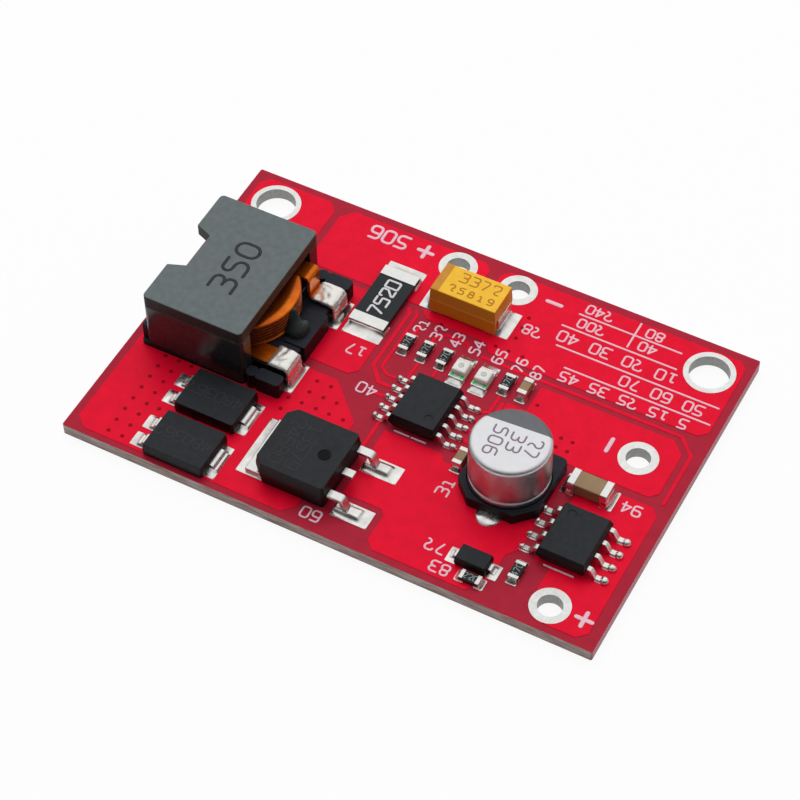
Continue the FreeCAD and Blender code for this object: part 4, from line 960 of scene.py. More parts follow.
# columns and rows of each group
VIA_ROWS = [
    ((-18.6, -17.4), (-5.65, -6.8, -7.95, -9.15, -10.35, -11.5, -12.7, -13.85)),
    ((-16.3,), (-5.65, -10.35)),
    ((-7.05, -5.85), (-2.45, -3.65, -4.85)),
    ((-4.7,), (-3.65, -4.85)),
    ((-8.2,), (-4.85, -6.05)),
    ((-3.5,), (-4.85,)),
    ((10.75,), (1.2,)),
    ((11.75, 12.7), (1.2, 0.25)),
    ((4.4,), (10.7, 9.55, 8.4)),
    ((8.8,), (3.2,)),
    ((-1.3, 3.4, 4.5, 5.7), (6.95,)),
]
via_places = [(x, y, FILM_TOP) for xs, ys in VIA_ROWS for x in xs for y in ys]
via_points = points_object("via_points", via_places)
via_mesh = grow(via_points, make_via_tree(), Rim_radius=0.15, Rim_wire=0.018)
finish_piece(via_mesh, "tented_vias", [copper_finish, via_finish])

# %% [markdown]
# ## Solder
# Melted solder creeps up whatever metal it wets and thins out towards the edge of its pad. The rule
# is simple: at each point, compare the distance to the lead with the distance to the pad's edge, and
# let the height fall with a power of that share. One Geometry Nodes tree makes such a joint from the
# sizes of pad and lead, and sets it down on every pad of one family.

# %% Solder joint tree
# the joint falls to its pad over this width, and no distance counts as less than the smallest one
EDGE_FALL, SMALLEST = 0.12, 0.0005


def make_joint_tree():
    """A joint along x, from its heel under the part to its toe, round a lead of a given width."""
    builder = GeometryTree("solder_joint")
    calc = builder.math
    inputs = ("Heel", "Toe", "Half width", "Lead tip", "Half lead", "Height", "Hollow", "Roundness")
    heel, toe, half_width, tip, half_lead, height, hollow, roundness = map(builder.size, inputs)
    length = calc("SUBTRACT", toe, heel)
    middle = calc("MULTIPLY", calc("ADD", toe, heel), 0.5)
    grid = builder.add("GeometryNodeMeshGrid", Size_X=length, Size_Y=calc("MULTIPLY", half_width, 2.0),
                       Vertices_X=25, Vertices_Y=19)
    here = builder.add("GeometryNodeInputPosition").outputs["Position"]
    position = builder.add("ShaderNodeSeparateXYZ", Vector=here)
    grid_x, grid_y = position.outputs["X"], position.outputs["Y"]

    def pulled_in(along, across, half_across):
        """The corners of the plan drawn in, by the square of the share across."""
        share = calc("POWER", calc("ABSOLUTE", calc("DIVIDE", across, half_across)), 2.0)
        less = calc("SUBTRACT", 1.0, calc("MULTIPLY", calc("MULTIPLY", share, 0.5), roundness))
        return calc("MULTIPLY", along, calc("SQRT", less))

    def closeness(distance):
        """One over the square of a distance."""
        return calc("POWER", calc("MAXIMUM", distance, SMALLEST), -2.0)

    x = calc("ADD", pulled_in(grid_x, grid_y, half_width), middle)
    y = pulled_in(grid_y, grid_x, calc("MULTIPLY", length, 0.5))
    past_tip = calc("MAXIMUM", calc("SUBTRACT", x, tip), 0.0)
    past_side = calc("MAXIMUM", calc("SUBTRACT", calc("ABSOLUTE", y), half_lead), 0.0)
    squares = calc("ADD", calc("POWER", past_tip, 2.0), calc("POWER", past_side, 2.0))
    from_lead = calc("SQRT", squares)
    flat_x = calc("ADD", grid_x, middle)
    to_toe, to_heel = calc("SUBTRACT", toe, flat_x), calc("SUBTRACT", flat_x, heel)
    to_side = calc("SUBTRACT", half_width, calc("ABSOLUTE", grid_y))
    crowd = calc("ADD", calc("ADD", closeness(to_toe), closeness(to_heel)), closeness(to_side))
    to_edge = calc("POWER", crowd, -0.5)
    whole = calc("ADD", calc("ADD", from_lead, to_edge), 0.0001)
    fall = calc("SUBTRACT", 1.0, calc("DIVIDE", from_lead, whole))
    edge_fall = calc("MINIMUM", calc("DIVIDE", to_edge, EDGE_FALL), 1.0)
    profile = calc("MULTIPLY", calc("POWER", fall, hollow), calc("POWER", edge_fall, 0.5))
    ripple = builder.add("ShaderNodeTexNoise", Scale=1.6, Detail=1.0).outputs["Fac"]
    wobble = calc("ADD", calc("MULTIPLY", ripple, 0.4), 0.8)
    z = calc("MULTIPLY", calc("MULTIPLY", profile, wobble), height)
    place = builder.add("ShaderNodeCombineXYZ", X=x, Y=y, Z=z)
    shaped = builder.add("GeometryNodeSetPosition", Geometry=grid.outputs["Mesh"],
                         Position=place.outputs["Vector"])
    turn = builder.add("GeometryNodeInputNamedAttribute")
    turn.data_type = "FLOAT"
    turn.inputs["Name"].default_value = "turn"
    spin = builder.add("ShaderNodeCombineXYZ", Z=turn.outputs["Attribute"])
    joints = builder.on_points(builder.into.outputs["Geometry"], builder.smooth(shaped.outputs["Geometry"]))
    turned = builder.add("GeometryNodeRotateInstances", Instances=joints, Rotation=spin.outputs["Vector"])
    return builder.finish(builder.painted(builder.real(turned.outputs["Instances"]), solder_finish))


joint_tree = make_joint_tree()
print("nodes in the solder joint tree:", len(joint_tree.tree.nodes))

# %% Solder on the small parts
FRONT, BACK, RIGHT, LEFT = -math.pi / 2, math.pi / 2, 0.0, math.pi


def both_ends(node, upright, shifts=(0.0,)):
    """Joints at the two ends of a part, shifted across it."""
    x, y = middle_mm(node)
    ends = (FRONT, BACK) if upright else (RIGHT, LEFT)
    return [(x + shift, y, PAD_TOP, end) if upright else (x, y + shift, PAD_TOP, end)
            for shift in shifts for end in ends]


def spaced(count, pitch):
    """Shifts of a centred row."""
    return [pitch * (number - (count - 1) / 2) for number in range(count)]


solder_parts = []


def solder(places, heel, toe, half_width, tip, half_lead, height, hollow=1.8, roundness=0.1):
    """Joints of one family, with sizes from the middle of the part."""
    sizes = {"Heel": heel, "Toe": toe, "Half_width": half_width, "Lead_tip": tip, "Half_lead": half_lead,
             "Height": height, "Hollow": hollow, "Roundness": roundness}
    solder_parts.append(grow(points_object("joints", places), joint_tree, **sizes))


SMALL_UPRIGHT = ["sense_resistor", "upper_divider_resistor", "lower_divider_resistor", "lamp_resistor",
                 "pull_resistor"]
# the numbers after the places: heel, toe, half width, lead tip, half lead, height, hollow, roundness
resistor_places = [place for name in SMALL_UPRIGHT for place in both_ends(name + "_caps", True)]
resistor_places += both_ends("gate_resistor_caps", False)
solder(resistor_places, 0.4, 1.13, 0.43, 0.8, 0.36, 0.42, 1.15, 0.25)
ceramic_places = both_ends("row_ceramic_caps", True) + both_ends("input_ceramic_caps", True)
solder(ceramic_places, 0.4, 1.13, 0.43, 0.8, 0.36, 0.5, 1.3, 0.25)
lamp_places = both_ends("left_lamp_terminals", True) + both_ends("right_lamp_terminals", True)
solder(lamp_places, 0.75, 1.55, 0.67, 1.0, 0.52, 0.34, 1.0, 0.2)
solder(both_ends("shunt_caps", True), 2.1, 4.08, 1.62, 3.1, 1.45, 0.42)
solder(both_ends("tantalum_terminals", False), 1.82, 3.82, 1.38, 2.97, 1.1, 0.5)
solder(both_ends("bulk_ceramic_caps", False), 1.05, 2.08, 0.95, 1.6, 0.78, 0.7)
solder(both_ends("signal_diode_leads", False), 1.2, 2.05, 0.68, 1.8, 0.28, 0.08, 1.6)
solder(both_ends("can_leads", True), 1.9, 4.35, 0.98, 3.75, 0.3, 0.24, 0.55, 0.9)
print("families of small joints:", len(solder_parts))

# %% Solder on the power parts and the chips
# a diode has one wide lead on its right and two narrow ones on its left; the joints' middle lies this
# far from the body's left face, and the narrow leads this far from its middle line
DIODE_MIDDLE, DIODE_LEAD = 2.6, 0.9
for name in ("front_diode_body", "rear_diode_body"):
    x, y = box_mm(name)[0][0] + DIODE_MIDDLE, middle_mm(name)[1]
    solder([(x, y, PAD_TOP, RIGHT)], 1.25, 3.35, 1.59, 3.25, 0.86, 0.22)
    pair = [(x, y - DIODE_LEAD, PAD_TOP, LEFT), (x, y + DIODE_LEAD, PAD_TOP, LEFT)]
    solder(pair, 2.6, 3.95, 0.65, 3.25, 0.44, 0.24)

# the power transistor's tab is on its left, its two leads on its right, this far from its middle line
POWER_LEAD = 2.285
power_x, power_y = middle_mm("transistor_body")
solder([(power_x, power_y, PAD_TOP, LEFT)], 2.6, 4.6, 2.75, 3.9, 2.6, 0.05, 2.4)
power_places = [(power_x, power_y + POWER_LEAD * side, PAD_TOP, RIGHT) for side in (-1, 1)]
solder(power_places, 3.55, 6.55, 0.82, 5.62, 0.35, 0.34, 2.8)

# chip, leads on a side, pitch
CHIP_ROWS = [("charger_chip_body", 5, 1.0), ("switch_chip_body", 4, 1.27)]
CHIP_PAD_HALVES = (0.24, 0.29)
for (name, count, pitch), half_width in zip(CHIP_ROWS, CHIP_PAD_HALVES):
    rows = both_ends(name, False, spaced(count, pitch))
    right_row, left_row = rows[::2], rows[1::2]
    solder(right_row, 2.55, 3.6, half_width, 3.25, 0.12, 0.12, 0.7, 0.75)
    solder(left_row, 2.55, 3.34, half_width, 3.15, 0.12, 0.10, 0.7, 0.75)

# the coil's two tails leave it at a tangent, so they lie a coil radius from its middle
COIL_RADIUS = 3.575
coil_x, coil_y = -15.05, middle_mm("inductor_core_upper")[1]
tail_places = [(coil_x, coil_y + COIL_RADIUS * side, PAD_TOP, RIGHT) for side in (-1, 1)]
solder(tail_places, 4.05, 6.83, 1.47, 6.45, 0.9, 0.7)
finish_piece(join_meshes(solder_parts, "joints"), "solder_joints", [solder_finish])

# %% [markdown]
# ### Beads at the chip leads' toes
# On these short pads most of the solder runs to the lead's toe and sets there as a shiny bead. One
# tree puts a squat drop on every point, long on the right side and round on the left, and a noise makes
# each a little uneven.

# %% Beads
def make_bead_tree():
    """A squat, slightly lumpy drop."""
    builder = GeometryTree("bead")
    half_sizes = {axis: builder.size(name)
                  for axis, name in zip("XYZ", ("Half length", "Half width", "Height"))}
    size = builder.add("ShaderNodeCombineXYZ", **half_sizes)
    ball = builder.add("GeometryNodeMeshUVSphere", Segments=18, Rings=11, Radius=1.0)
    drops = builder.on_points(builder.into.outputs["Geometry"], builder.smooth(ball.outputs["Mesh"]),
                              Scale=size.outputs["Vector"])
    uneven = builder.add("ShaderNodeTexNoise", Scale=2.4, Detail=1.0).outputs["Fac"]
    swell = builder.math("MULTIPLY", builder.math("SUBTRACT", uneven, 0.5), 0.12)
    outward = builder.add("ShaderNodeVectorMath")
    outward.operation = "SCALE"
    builder.feed(builder.add("GeometryNodeInputNormal").outputs["Normal"], outward.inputs[0])
    builder.feed(swell, outward.inputs["Scale"])
    lumpy = builder.add("GeometryNodeSetPosition", Geometry=builder.real(drops),
                        Offset=outward.outputs["Vector"])
    return builder.finish(builder.painted(lumpy.outputs["Geometry"], solder_finish))


bead_tree = make_bead_tree()
# distance from the chip's middle, level over the pad, half length, half width, half height
LEFT_BEAD = (-3.25, 0.10, 0.27, 0.26, 0.31)
RIGHT_BEADS = [(3.30, 0.04, 0.37, 0.27, 0.34), (3.30, 0.04, 0.36, 0.34, 0.34)]
beads = []
for (name, count, pitch), right_bead in zip(CHIP_ROWS, RIGHT_BEADS):
    x, y = middle_mm(name)
    for reach, lift, long, wide, high in (LEFT_BEAD, right_bead):
        places = [(x + reach, y + shift, PAD_TOP + lift) for shift in spaced(count, pitch)]
        toes = points_object("toes", places)
        beads.append(grow(toes, bead_tree, Half_length=long, Half_width=wide, Height=high))
finish_piece(join_meshes(beads, "beads"), "solder_beads", [solder_finish])

# %% [markdown]
# ### Solder on the choke's terminals
# The flat wire's ends are thick, so the iron leaves heavy, lumpy solder on them. The smooth CAD coat is
# copied, rebuilt in even small cells by a Remesh modifier, and each point is pushed along its normal
# by a noise, so that the coat swells and sags while its place stays the same.

# %% Lumpy solder
def melted(mesh, cell):
    """A mesh rebuilt in even cells as one skin, and smoothed."""
    holder = add_object("melted", mesh)
    cells = holder.modifiers.new("cells", "REMESH")
    cells.mode = "VOXEL"
    cells.voxel_size = cell
    ease = holder.modifiers.new("ease", "SMOOTH")
    ease.iterations = 8
    return plain_mesh(holder)


LUMP_CELL, LUMP, LUMP_SCALE = 0.07, 0.13, 1.15
# left of this place, over this width, the rear coat is drawn out to the left by this much
REAR_START, REAR_WIDTH, REAR_DRAW = -9.1, 1.3, 0.28
coat = mesh_from(merged_node("inductor_terminal_tinning"), "coat")
coat.transform(Matrix.Scale(1 / MM, 4))
lumps = melted(coat, LUMP_CELL)
normals = [vert.normal.copy() for vert in lumps.vertices]
for vert, normal in zip(lumps.vertices, normals):
    swell = noise.noise(vert.co * LUMP_SCALE) + 0.5 * noise.noise(vert.co * LUMP_SCALE * 2.1)
    # the outer faces swell less
    vert.co += normal * LUMP * max(0.6, 0.9 + 0.7 * swell) * (0.3 if normal.x > 0.7 else 1.0)
    if vert.co.y > coil_y:
        vert.co.x -= REAR_DRAW * min(1.0, max(0.0, (REAR_START - vert.co.x) / REAR_WIDTH))
lumps.shade_smooth()
finish_piece(lumps, "terminal_solder", [heavy_solder], ["inductor_terminal_tinning"])

# %% [markdown]
# ### The drip of adhesive
# A drip of dark adhesive ties the coil to its carrier. It leans on the winding with a narrow tip and
# widens to a foot. Balls of growing size along a bent line are melted into one skin by a Remesh
# modifier, smoothed, and flattened where the drip stands on the carrier.

# %% Adhesive
# places and radii of the balls at the bends
DRIP = [((-10.66, 0.42, 4.30), 0.36), ((-10.58, 0.38, 3.95), 0.44), ((-10.45, 0.22, 3.45), 0.56),
        ((-10.25, 0.05, 2.95), 0.74), ((-10.18, 0.0, 2.7), 0.88), ((-9.95, 0.42, 2.85), 0.62)]
DRIP_SHARES = (0.0, 0.25, 0.5, 0.75, 1.0)
DRIP_CELL, DRIP_LUMP, DRIP_SCALE = 0.06, 0.09, 1.3
balls = bmesh.new()
for (start, start_size), (end, end_size) in zip(DRIP, DRIP[1:]):
    for share in DRIP_SHARES:
        spot = Vector(start).lerp(Vector(end), share)
        size = start_size + (end_size - start_size) * share
        bmesh.ops.create_icosphere(balls, subdivisions=2, radius=size, matrix=Matrix.Translation(spot))
drip = melted(mesh_from(balls, "drip"), DRIP_CELL)
# the foot ends just inside the carrier, which the CAD bead stands on
drip_foot = box_mm("inductor_glue")[0][2] - 0.02
for vert in drip.vertices:
    vert.co += vert.normal * DRIP_LUMP * noise.noise(vert.co * DRIP_SCALE)
    vert.co.z = max(vert.co.z, drip_foot)
drip.shade_smooth()
finish_piece(drip, "adhesive_drip", [adhesive_finish], ["inductor_glue"])

# %% [markdown]
# ## The coil
# The choke's winding is flat copper wire wound on its edge, like a spring toy. Its line is a helix, so
# it is drawn by rule: a spiral curve with a flat rounded profile swept along it. The straight tails
# leave it at a tangent and are swept along their own bent lines.

# %% Winding by Geometry Nodes
TURNS, PITCH = 6.5, 0.32
WIRE_WIDE, WIRE_THICK = 1.65, 0.25
# the carrier's ledge, on which the coil rests
LEDGE = PAD_TOP + 1.47


def make_winding_tree():
    """A spiral of flat wire with rounded edges."""
    builder = GeometryTree("winding")
    inputs = ("Middle radius", "Rise", "Turns", "Wire width", "Wire thickness")
    radius, rise, turns, wide, thick = map(builder.size, inputs)
    spiral = builder.add("GeometryNodeCurveSpiral", Resolution=64, Rotations=turns, Start_Radius=radius,
                         End_Radius=radius, Height=rise, Reverse=True)
    upright = builder.add("GeometryNodeSetCurveNormal", Curve=spiral.outputs["Curve"])
    upright.mode = "Z_UP"
    profile = builder.add("GeometryNodeCurvePrimitiveQuadrilateral", Width=wide, Height=thick)
    rounded = builder.add("GeometryNodeFilletCurve", Curve=profile.outputs["Curve"],
                          Radius=builder.math("MULTIPLY", thick, 0.42))
    strip = builder.add("GeometryNodeCurveToMesh", Curve=upright.outputs["Curve"],
                        Profile_Curve=rounded.outputs["Curve"], Fill_Caps=True)
    return builder.finish(builder.painted(builder.real(builder.smooth(strip.outputs["Mesh"])), enamel_finish))


seed = points_object("winding_seed", [(0, 0, 0)])
winding = grow(seed, make_winding_tree(), Middle_radius=COIL_RADIUS, Rise=PITCH * TURNS, Turns=TURNS,
               Wire_width=WIRE_WIDE, Wire_thickness=WIRE_THICK)
heights = [vert.co.z for vert in winding.vertices]
print("winding height", round(max(heights) - min(heights), 2))


# %% Tails by sweeping a flat section
def bent_line(points, bend, steps=6):
    """A chain of points with round corners."""
    line = [Vector(points[0])]
    for before, corner, after in zip(points, points[1:], points[2:]):
        before, corner, after = Vector(before), Vector(corner), Vector(after)
        back, ahead = (before - corner).normalized(), (after - corner).normalized()
        for step in range(steps + 1):
            share = step / steps
            start, end = corner + back * bend, corner + ahead * bend
            line.append(start.lerp(corner, share).lerp(corner.lerp(end, share), share))
    line.append(Vector(points[-1]))
    return line


def strap_mesh(points, y):
    """Flat wire along a line in the XZ plane, centred on y, with slightly round edges."""
    line = bent_line(points, BEND)
    wide, thick = WIRE_WIDE / 2, WIRE_THICK / 2
    nip = WIRE_THICK * 0.25
    quarter = [(wide - nip, -thick), (wide, -thick + nip), (wide, thick - nip), (wide - nip, thick)]
    section = quarter + [(-side, -lift) for side, lift in quarter]
    rings = []
    for here, point in enumerate(line):
        along = (line[min(here + 1, len(line) - 1)] - line[max(here - 1, 0)]).normalized()
        across = Vector((-along.y, along.x))
        spots = [(point + across * lift, side) for side, lift in section]
        rings.append([(spot.x, y + side, spot.y) for spot, side in spots])
    return skin(rings, "strap")


# from the coil's middle: the terminals' outer faces, the rear tail's drop and the feet's inner ends;
# and the radius of the wire's bends
OUTER_FACE, DROP_FACE, FOOT_END, BEND = 6.28, 4.2, 5.1, 0.33
half_wire = WIRE_THICK / 2
low_turn, top_turn = LEDGE + half_wire, LEDGE + PITCH * TURNS + half_wire
outer_line, drop_line, foot_line = OUTER_FACE - half_wire, DROP_FACE - half_wire, PAD_TOP + half_wire
terminal = [(outer_line, low_turn), (outer_line, foot_line), (FOOT_END, foot_line)]
front_tail = strap_mesh([(0, low_turn)] + terminal, -COIL_RADIUS)
rear_tail = strap_mesh([(0, top_turn), (drop_line, top_turn), (drop_line, low_turn)] + terminal, COIL_RADIUS)
winding.transform(Matrix.Translation((0, 0, low_turn)) @ Matrix.Rotation(-math.pi / 2, 4, "Z"))
coil_mesh = join_meshes([winding, front_tail, rear_tail], "coil")
coil_mesh.transform(Matrix.Translation((coil_x, coil_y, 0)))
finish_piece(coil_mesh, "flat_wire_coil", [enamel_finish], ["inductor_coil"])

# %% [markdown]
# ## Printed marks
# All print on the board and the parts is drawn with a round pen: rules, plus and minus signs, and plain
# figures of a few strokes each. The strokes are bare edges of a mesh. A Geometry Nodes tree turns
# them into curves, rounds their corners, sweeps a low round profile along them and sets a dot on each
# end. The pen's width, the height of the ink and the roundness are its inputs.

# %% Pen tree
def make_pen_tree():
    """A low round stroke along every chain of edges, with a round end."""
    builder = GeometryTree("pen")
    half_pen, ink_height, corner = map(builder.size, ("Half pen", "Ink height", "Corner"))
    ink = builder.size("Ink", "NodeSocketMaterial")
    line = builder.add("GeometryNodeMeshToCurve", Mesh=builder.into.outputs["Geometry"])
    soft = builder.add("GeometryNodeFilletCurve", Curve=line.outputs["Curve"])
    soft.mode = "POLY"
    for name, value in (("Limit Radius", True), ("Count", 3), ("Radius", corner)):
        builder.feed(value, soft.inputs[name])
    upright = builder.add("GeometryNodeSetCurveNormal", Curve=soft.outputs["Curve"])
    upright.mode = "Z_UP"
    circle = builder.add("GeometryNodeCurvePrimitiveCircle", Resolution=8, Radius=1.0)
    oval = builder.add("ShaderNodeCombineXYZ", X=half_pen, Y=ink_height, Z=1.0)
    flat = builder.add("GeometryNodeTransform", Geometry=circle.outputs["Curve"],
                       Scale=oval.outputs["Vector"])
    stroke = builder.add("GeometryNodeCurveToMesh", Curve=upright.outputs["Curve"],
                         Profile_Curve=flat.outputs["Geometry"])
    dot = builder.add("GeometryNodeMeshUVSphere", Segments=8, Rings=4, Radius=1.0)
    dot_size = builder.add("ShaderNodeCombineXYZ", X=half_pen, Y=half_pen, Z=ink_height)
    ends = builder.add("GeometryNodeCurveEndpointSelection")
    dots = builder.on_points(upright.outputs["Curve"], dot.outputs["Mesh"],
                             Selection=ends.outputs["Selection"], Scale=dot_size.outputs["Vector"])
    strokes = builder.smooth(builder.real(builder.joined(dots, stroke.outputs["Mesh"])))
    return builder.finish(builder.painted(strokes, ink))


pen_tree = make_pen_tree()
print("nodes in the pen tree:", len(pen_tree.tree.nodes))

# %% Figures as strokes
# each figure on a field four units wide and six high
STROKES = {
    "0": [((0, 0), (4, 0), (4, 6), (0, 6), (0, 0))],
    "1": [((0.6, 4.7), (2, 6), (2, 0)), ((0.7, 0), (3.3, 0))],
    "2": [((0, 4.8), (0, 6), (4, 6), (4, 3.5), (0, 0), (4, 0))],
    "3": [((0, 6), (4, 6), (4, 3.15), (1.6, 3.15)), ((2.6, 3.0), (4, 3.0), (4, 0), (0, 0))],
    "4": [((3.1, 0), (3.1, 6)), ((3.0, 6), (0, 1.9)), ((0, 1.8), (4.2, 1.8))],
    "5": [((4, 6), (0.2, 6), (0, 3.5), (4, 3.5), (4, 0), (0, 0))],
    "6": [((3.6, 6), (0, 6), (0, 0), (4, 0), (4, 3.4), (0, 3.4))],
    "7": [((0, 6), (4, 6), (1.4, 0))],
    "8": [((0, 0), (4, 0), (4, 3.15), (0, 3.15), (0, 0)),
          ((0.3, 2.95), (3.7, 2.95), (3.7, 6), (0.3, 6), (0.3, 2.95))],
    "9": [((0.4, 0), (4, 0), (4, 6), (0, 6), (0, 2.6), (4, 2.6))],
}


class Drawing:
    """Strokes for one pen, in millimetres."""

    def __init__(self):
        self.points, self.edges = [], []

    def stroke(self, chain, level):
        """One stroke along a chain of points, closed if it ends where it starts."""
        first = len(self.points)
        closed = chain[0] == chain[-1]
        chain = chain[:-1] if closed else chain
        self.points += [(x, y, level) for x, y in chain]
        self.edges += [(first + step, first + step + 1) for step in range(len(chain) - 1)]
        if closed:
            self.edges.append((first + len(chain) - 1, first))

    def figures(self, text, x, y, height, turn, level, pitch=5.5):
        """A line of figures centred on a point."""
        unit, angle = height / 6, math.radians(turn)
        across = Vector((math.cos(angle), math.sin(angle))) * unit
        up = Vector((-math.sin(angle), math.cos(angle))) * unit
        corner = Vector((x, y)) - across * (pitch * (len(text) - 1) + 4) / 2 - up * 3
        for place, figure in enumerate(text):
            for chain in STROKES.get(figure, []):
                spots = [corner + across * (a + pitch * place) + up * b for a, b in chain]
                self.stroke([tuple(spot) for spot in spots], level)

    def mesh(self, pen, ink, corner=0.2, ink_height=0.014):
        """The drawing as an inked mesh."""
        mesh = bpy.data.meshes.new("strokes")
        mesh.from_pydata(self.points, self.edges, [])
        strokes = add_object("strokes", mesh)
        return grow(strokes, pen_tree, Half_pen=pen / 2, Ink_height=ink_height, Corner=corner, Ink=ink)


print("figures for the pen:", " ".join(STROKES))

# %% Print on the board
ARM = 0.62
signs, rules, labels, large = Drawing(), Drawing(), Drawing(), Drawing()
for x, y in ((-5.9, 13.1), (20.3, -12.75)):
    signs.stroke([(x - ARM, y), (x + ARM, y)], FILM_TOP)
    signs.stroke([(x, y - ARM), (x, y + ARM)], FILM_TOP)
signs.stroke([(4.9, 12.95), (6.1, 12.95)], FILM_TOP)
signs.stroke([(15.23, 1.65), (15.23, 2.9)], FILM_TOP)

# for each rule, the x of both its ends and its y
RULES = [(7.71, 16.34, 12.88), (7.0, 16.62, 11.25), (7.5, 21.03, 9.22), (9.02, 21.06, 7.47),
         (0.4, 1.6, -3.95), (1.85, 3.0, -3.95), (15.7, 18.0, -9.8)]
for x_low, x_high, y in RULES:
    rules.stroke([(x_low, y), (x_high, y)], FILM_TOP)
rules.stroke([(12.37, 14.2), (12.37, 11.57)], FILM_TOP)

# text, x, y, height, turn in degrees
LABELS = [
    ("240", 9.08, 13.66, 0.86, 180), ("80", 13.82, 13.58, 0.86, 180),
    ("200", 9.08, 12.07, 0.86, 180), ("40", 13.82, 12.13, 0.86, 180),
    ("10 20 30 40", 12.1, 10.23, 1.0, 180), ("50 60 70", 16.7, 8.35, 0.96, 180),
    ("5 15 25 35 45", 14.3, 6.62, 0.90, 180),
    ("17", -5.95, 1.6, 0.95, 180), ("28", 5.2, 9.6, 0.92, 180), ("40", -3.35, -1.4, 0.95, 180),
    ("31", 6.2, -6.9, 0.95, 90), ("60", -1.35, -13.65, 0.95, 180), ("72", 8.05, -12.0, 0.92, 180),
    ("83", 9.2, -13.55, 0.92, 180), ("94", 19.2, -2.4, 0.92, 180),
]
MIDDLE_ROW = {"21": -2.6, "32": -1.1, "43": 0.5, "54": 2.2, "65": 4.15, "76": 5.9, "87": 7.4}
LABELS += [(text, x, 6.1, 0.82, 90) for text, x in MIDDLE_ROW.items()]
for text, x, y, height, turn in LABELS:
    labels.figures(text, x, y, height, turn, FILM_TOP)
large.figures("506", -9.2, 13.15, 1.3, 180, FILM_TOP)
prints = [signs.mesh(0.36, silk_finish), rules.mesh(0.17, silk_finish), labels.mesh(0.17, silk_finish),
          large.mesh(0.25, silk_finish, 0.3)]
finish_piece(join_meshes(prints, "print"), "board_print", [silk_finish])


# %% Figures on the parts
def mark_piece(meshes, name, ink):
    finish_piece(join_meshes(meshes, name), name, [ink])


# piece: ink, slot, pen width, corner, ink height, then its lines as node, text, x and y from the
# node's middle, height, turn in degrees, pitch
PART_FIGURES = {
    "core_figures": (dark_ink, "ferrite", 0.27, 0.65, 0.014, [
        ("inductor_core_upper", "350", 0.55, -0.15, 1.95, 90, 5.8)]),
    "shunt_figures": (white_ink, "black_glaze", 0.2, 0.1, 0.014, [
        ("shunt_body", "7520", 0.0, 0.0, 1.1, 90, 5.2)]),
    "tantalum_figures": (brown_ink, "yellow_moulding", 0.13, 0.15, 0.014, [
        ("tantalum_body", "3372", 0.52, 0.62, 0.92, 0, 5.9),
        ("tantalum_body", "25819", 0.35, -0.68, 0.62, 0, 8.0)]),
    "laser_figures": (laser_mark, "black_epoxy", 0.13, 0.2, 0.006, [
        ("front_diode_body", "480362", -0.1, 0.05, 0.92, 180, 5.2),
        ("rear_diode_body", "480362", -0.1, 0.05, 0.92, 180, 5.2),
        ("transistor_body", "24680", -1.55, -0.1, 1.05, -90, 5.2),
        ("transistor_body", "13579", -0.15, -0.1, 1.05, -90, 5.2)]),
    "resistor_figures": (pale_ink, "black_glaze", 0.065, 0.06, 0.006, [
        *[(name + "_body", "470", 0.0, 0.0, 0.46, 90, 5.5) for name in SMALL_UPRIGHT],
        ("gate_resistor_body", "220", 0.0, 0.0, 0.46, 0, 5.5)]),
    "can_figures": (can_ink, "can_aluminium", 0.15, 0.25, 0.006, [
        ("capacitor_can", "27", 1.8, 0.05, 1.02, -87, 5.9),
        ("capacitor_can", "33", 0.42, -0.05, 1.02, -87, 5.9),
        ("capacitor_can", "506", -1.0, -0.5, 1.02, -87, 5.9)]),
}
for name, (ink, slot, pen, corner, ink_height, lines) in PART_FIGURES.items():
    drawing = Drawing()
    for node, text, aside, up, height, turn, pitch in lines:
        x, y = middle_mm(node)
        drawing.figures(text, x + aside, y + up, height, turn, top_mm(node), pitch)
    mark_piece([drawing.mesh(pen, ink, corner, ink_height)], name, ink)


# %% Stripe and dimple
def plan_box(x_low, y_low, x_high, y_high):
    """The outline of a box."""
    return [(x_low, y_low), (x_high, y_low), (x_high, y_high), (x_low, y_high)]


# the stripe starts just inside the face and ends just over it; the dimple's floor lies in its hollow
x, y = middle_mm("tantalum_body")
level = top_mm("tantalum_body")
stripe = film_mesh([plan_box(x - 2.76, y - 1.45, x - 2.1, y + 1.45)], level - 0.004, level + 0.005, 0.001)
mark_piece([stripe], "tantalum_stripe", stripe_ink)
# a near-black disc on the floor of the transistor's dimple, darker than the epoxy round it
level = top_mm("transistor_body")
dimple = film_mesh([ring_loop(power_x + 1.5, power_y, 0.44, 32)], level - 0.06, level - 0.03, 0.006)
mark_piece([dimple], "transistor_dimple", dimple_disc_finish)

# %% Green marks and dice of the lamps
MARK_ASIDE, MARK_FRONT, MARK_BACK, MARK_HALF = 0.44, -0.86, -0.6, 0.14
lamp_marks, dice = [], []
for name in ("left_lamp", "right_lamp"):
    x, y = middle_mm(name + "_base")
    level = top_mm(name + "_terminals") + 0.004
    for side in (-MARK_ASIDE, MARK_ASIDE):
        patch = plan_box(x + side - MARK_HALF, y + MARK_FRONT, x + side + MARK_HALF, y + MARK_BACK)
        lamp_marks.append(film_mesh([patch], level - 0.003, level + 0.006, 0.001))
    lens_top = top_mm(name + "_lens")
    die_ring = [ring_loop(x, y, 0.22, 24), ring_loop(x, y, 0.15, 24)]
    dice.append(film_mesh(die_ring, lens_top - 0.004, lens_top + 0.02, 0.008))
    dice.append(film_mesh([ring_loop(x, y, 0.07, 12)], lens_top - 0.004, lens_top + 0.012, 0.004))
mark_piece(lamp_marks, "lamp_marks", green_ink)
mark_piece(dice, "lamp_dice", die_finish)

# %% [markdown]
# ## Studio
# The board lies under a wide soft light that hangs over its back edge, so tops are light and the sides
# that face the camera are deep. The sky is a smooth fall from bright behind to dark in front. The
# camera itself sees plain white behind the board, metal mirrors the white where the sky is bright, and
# the floor keeps a trace of shadow.

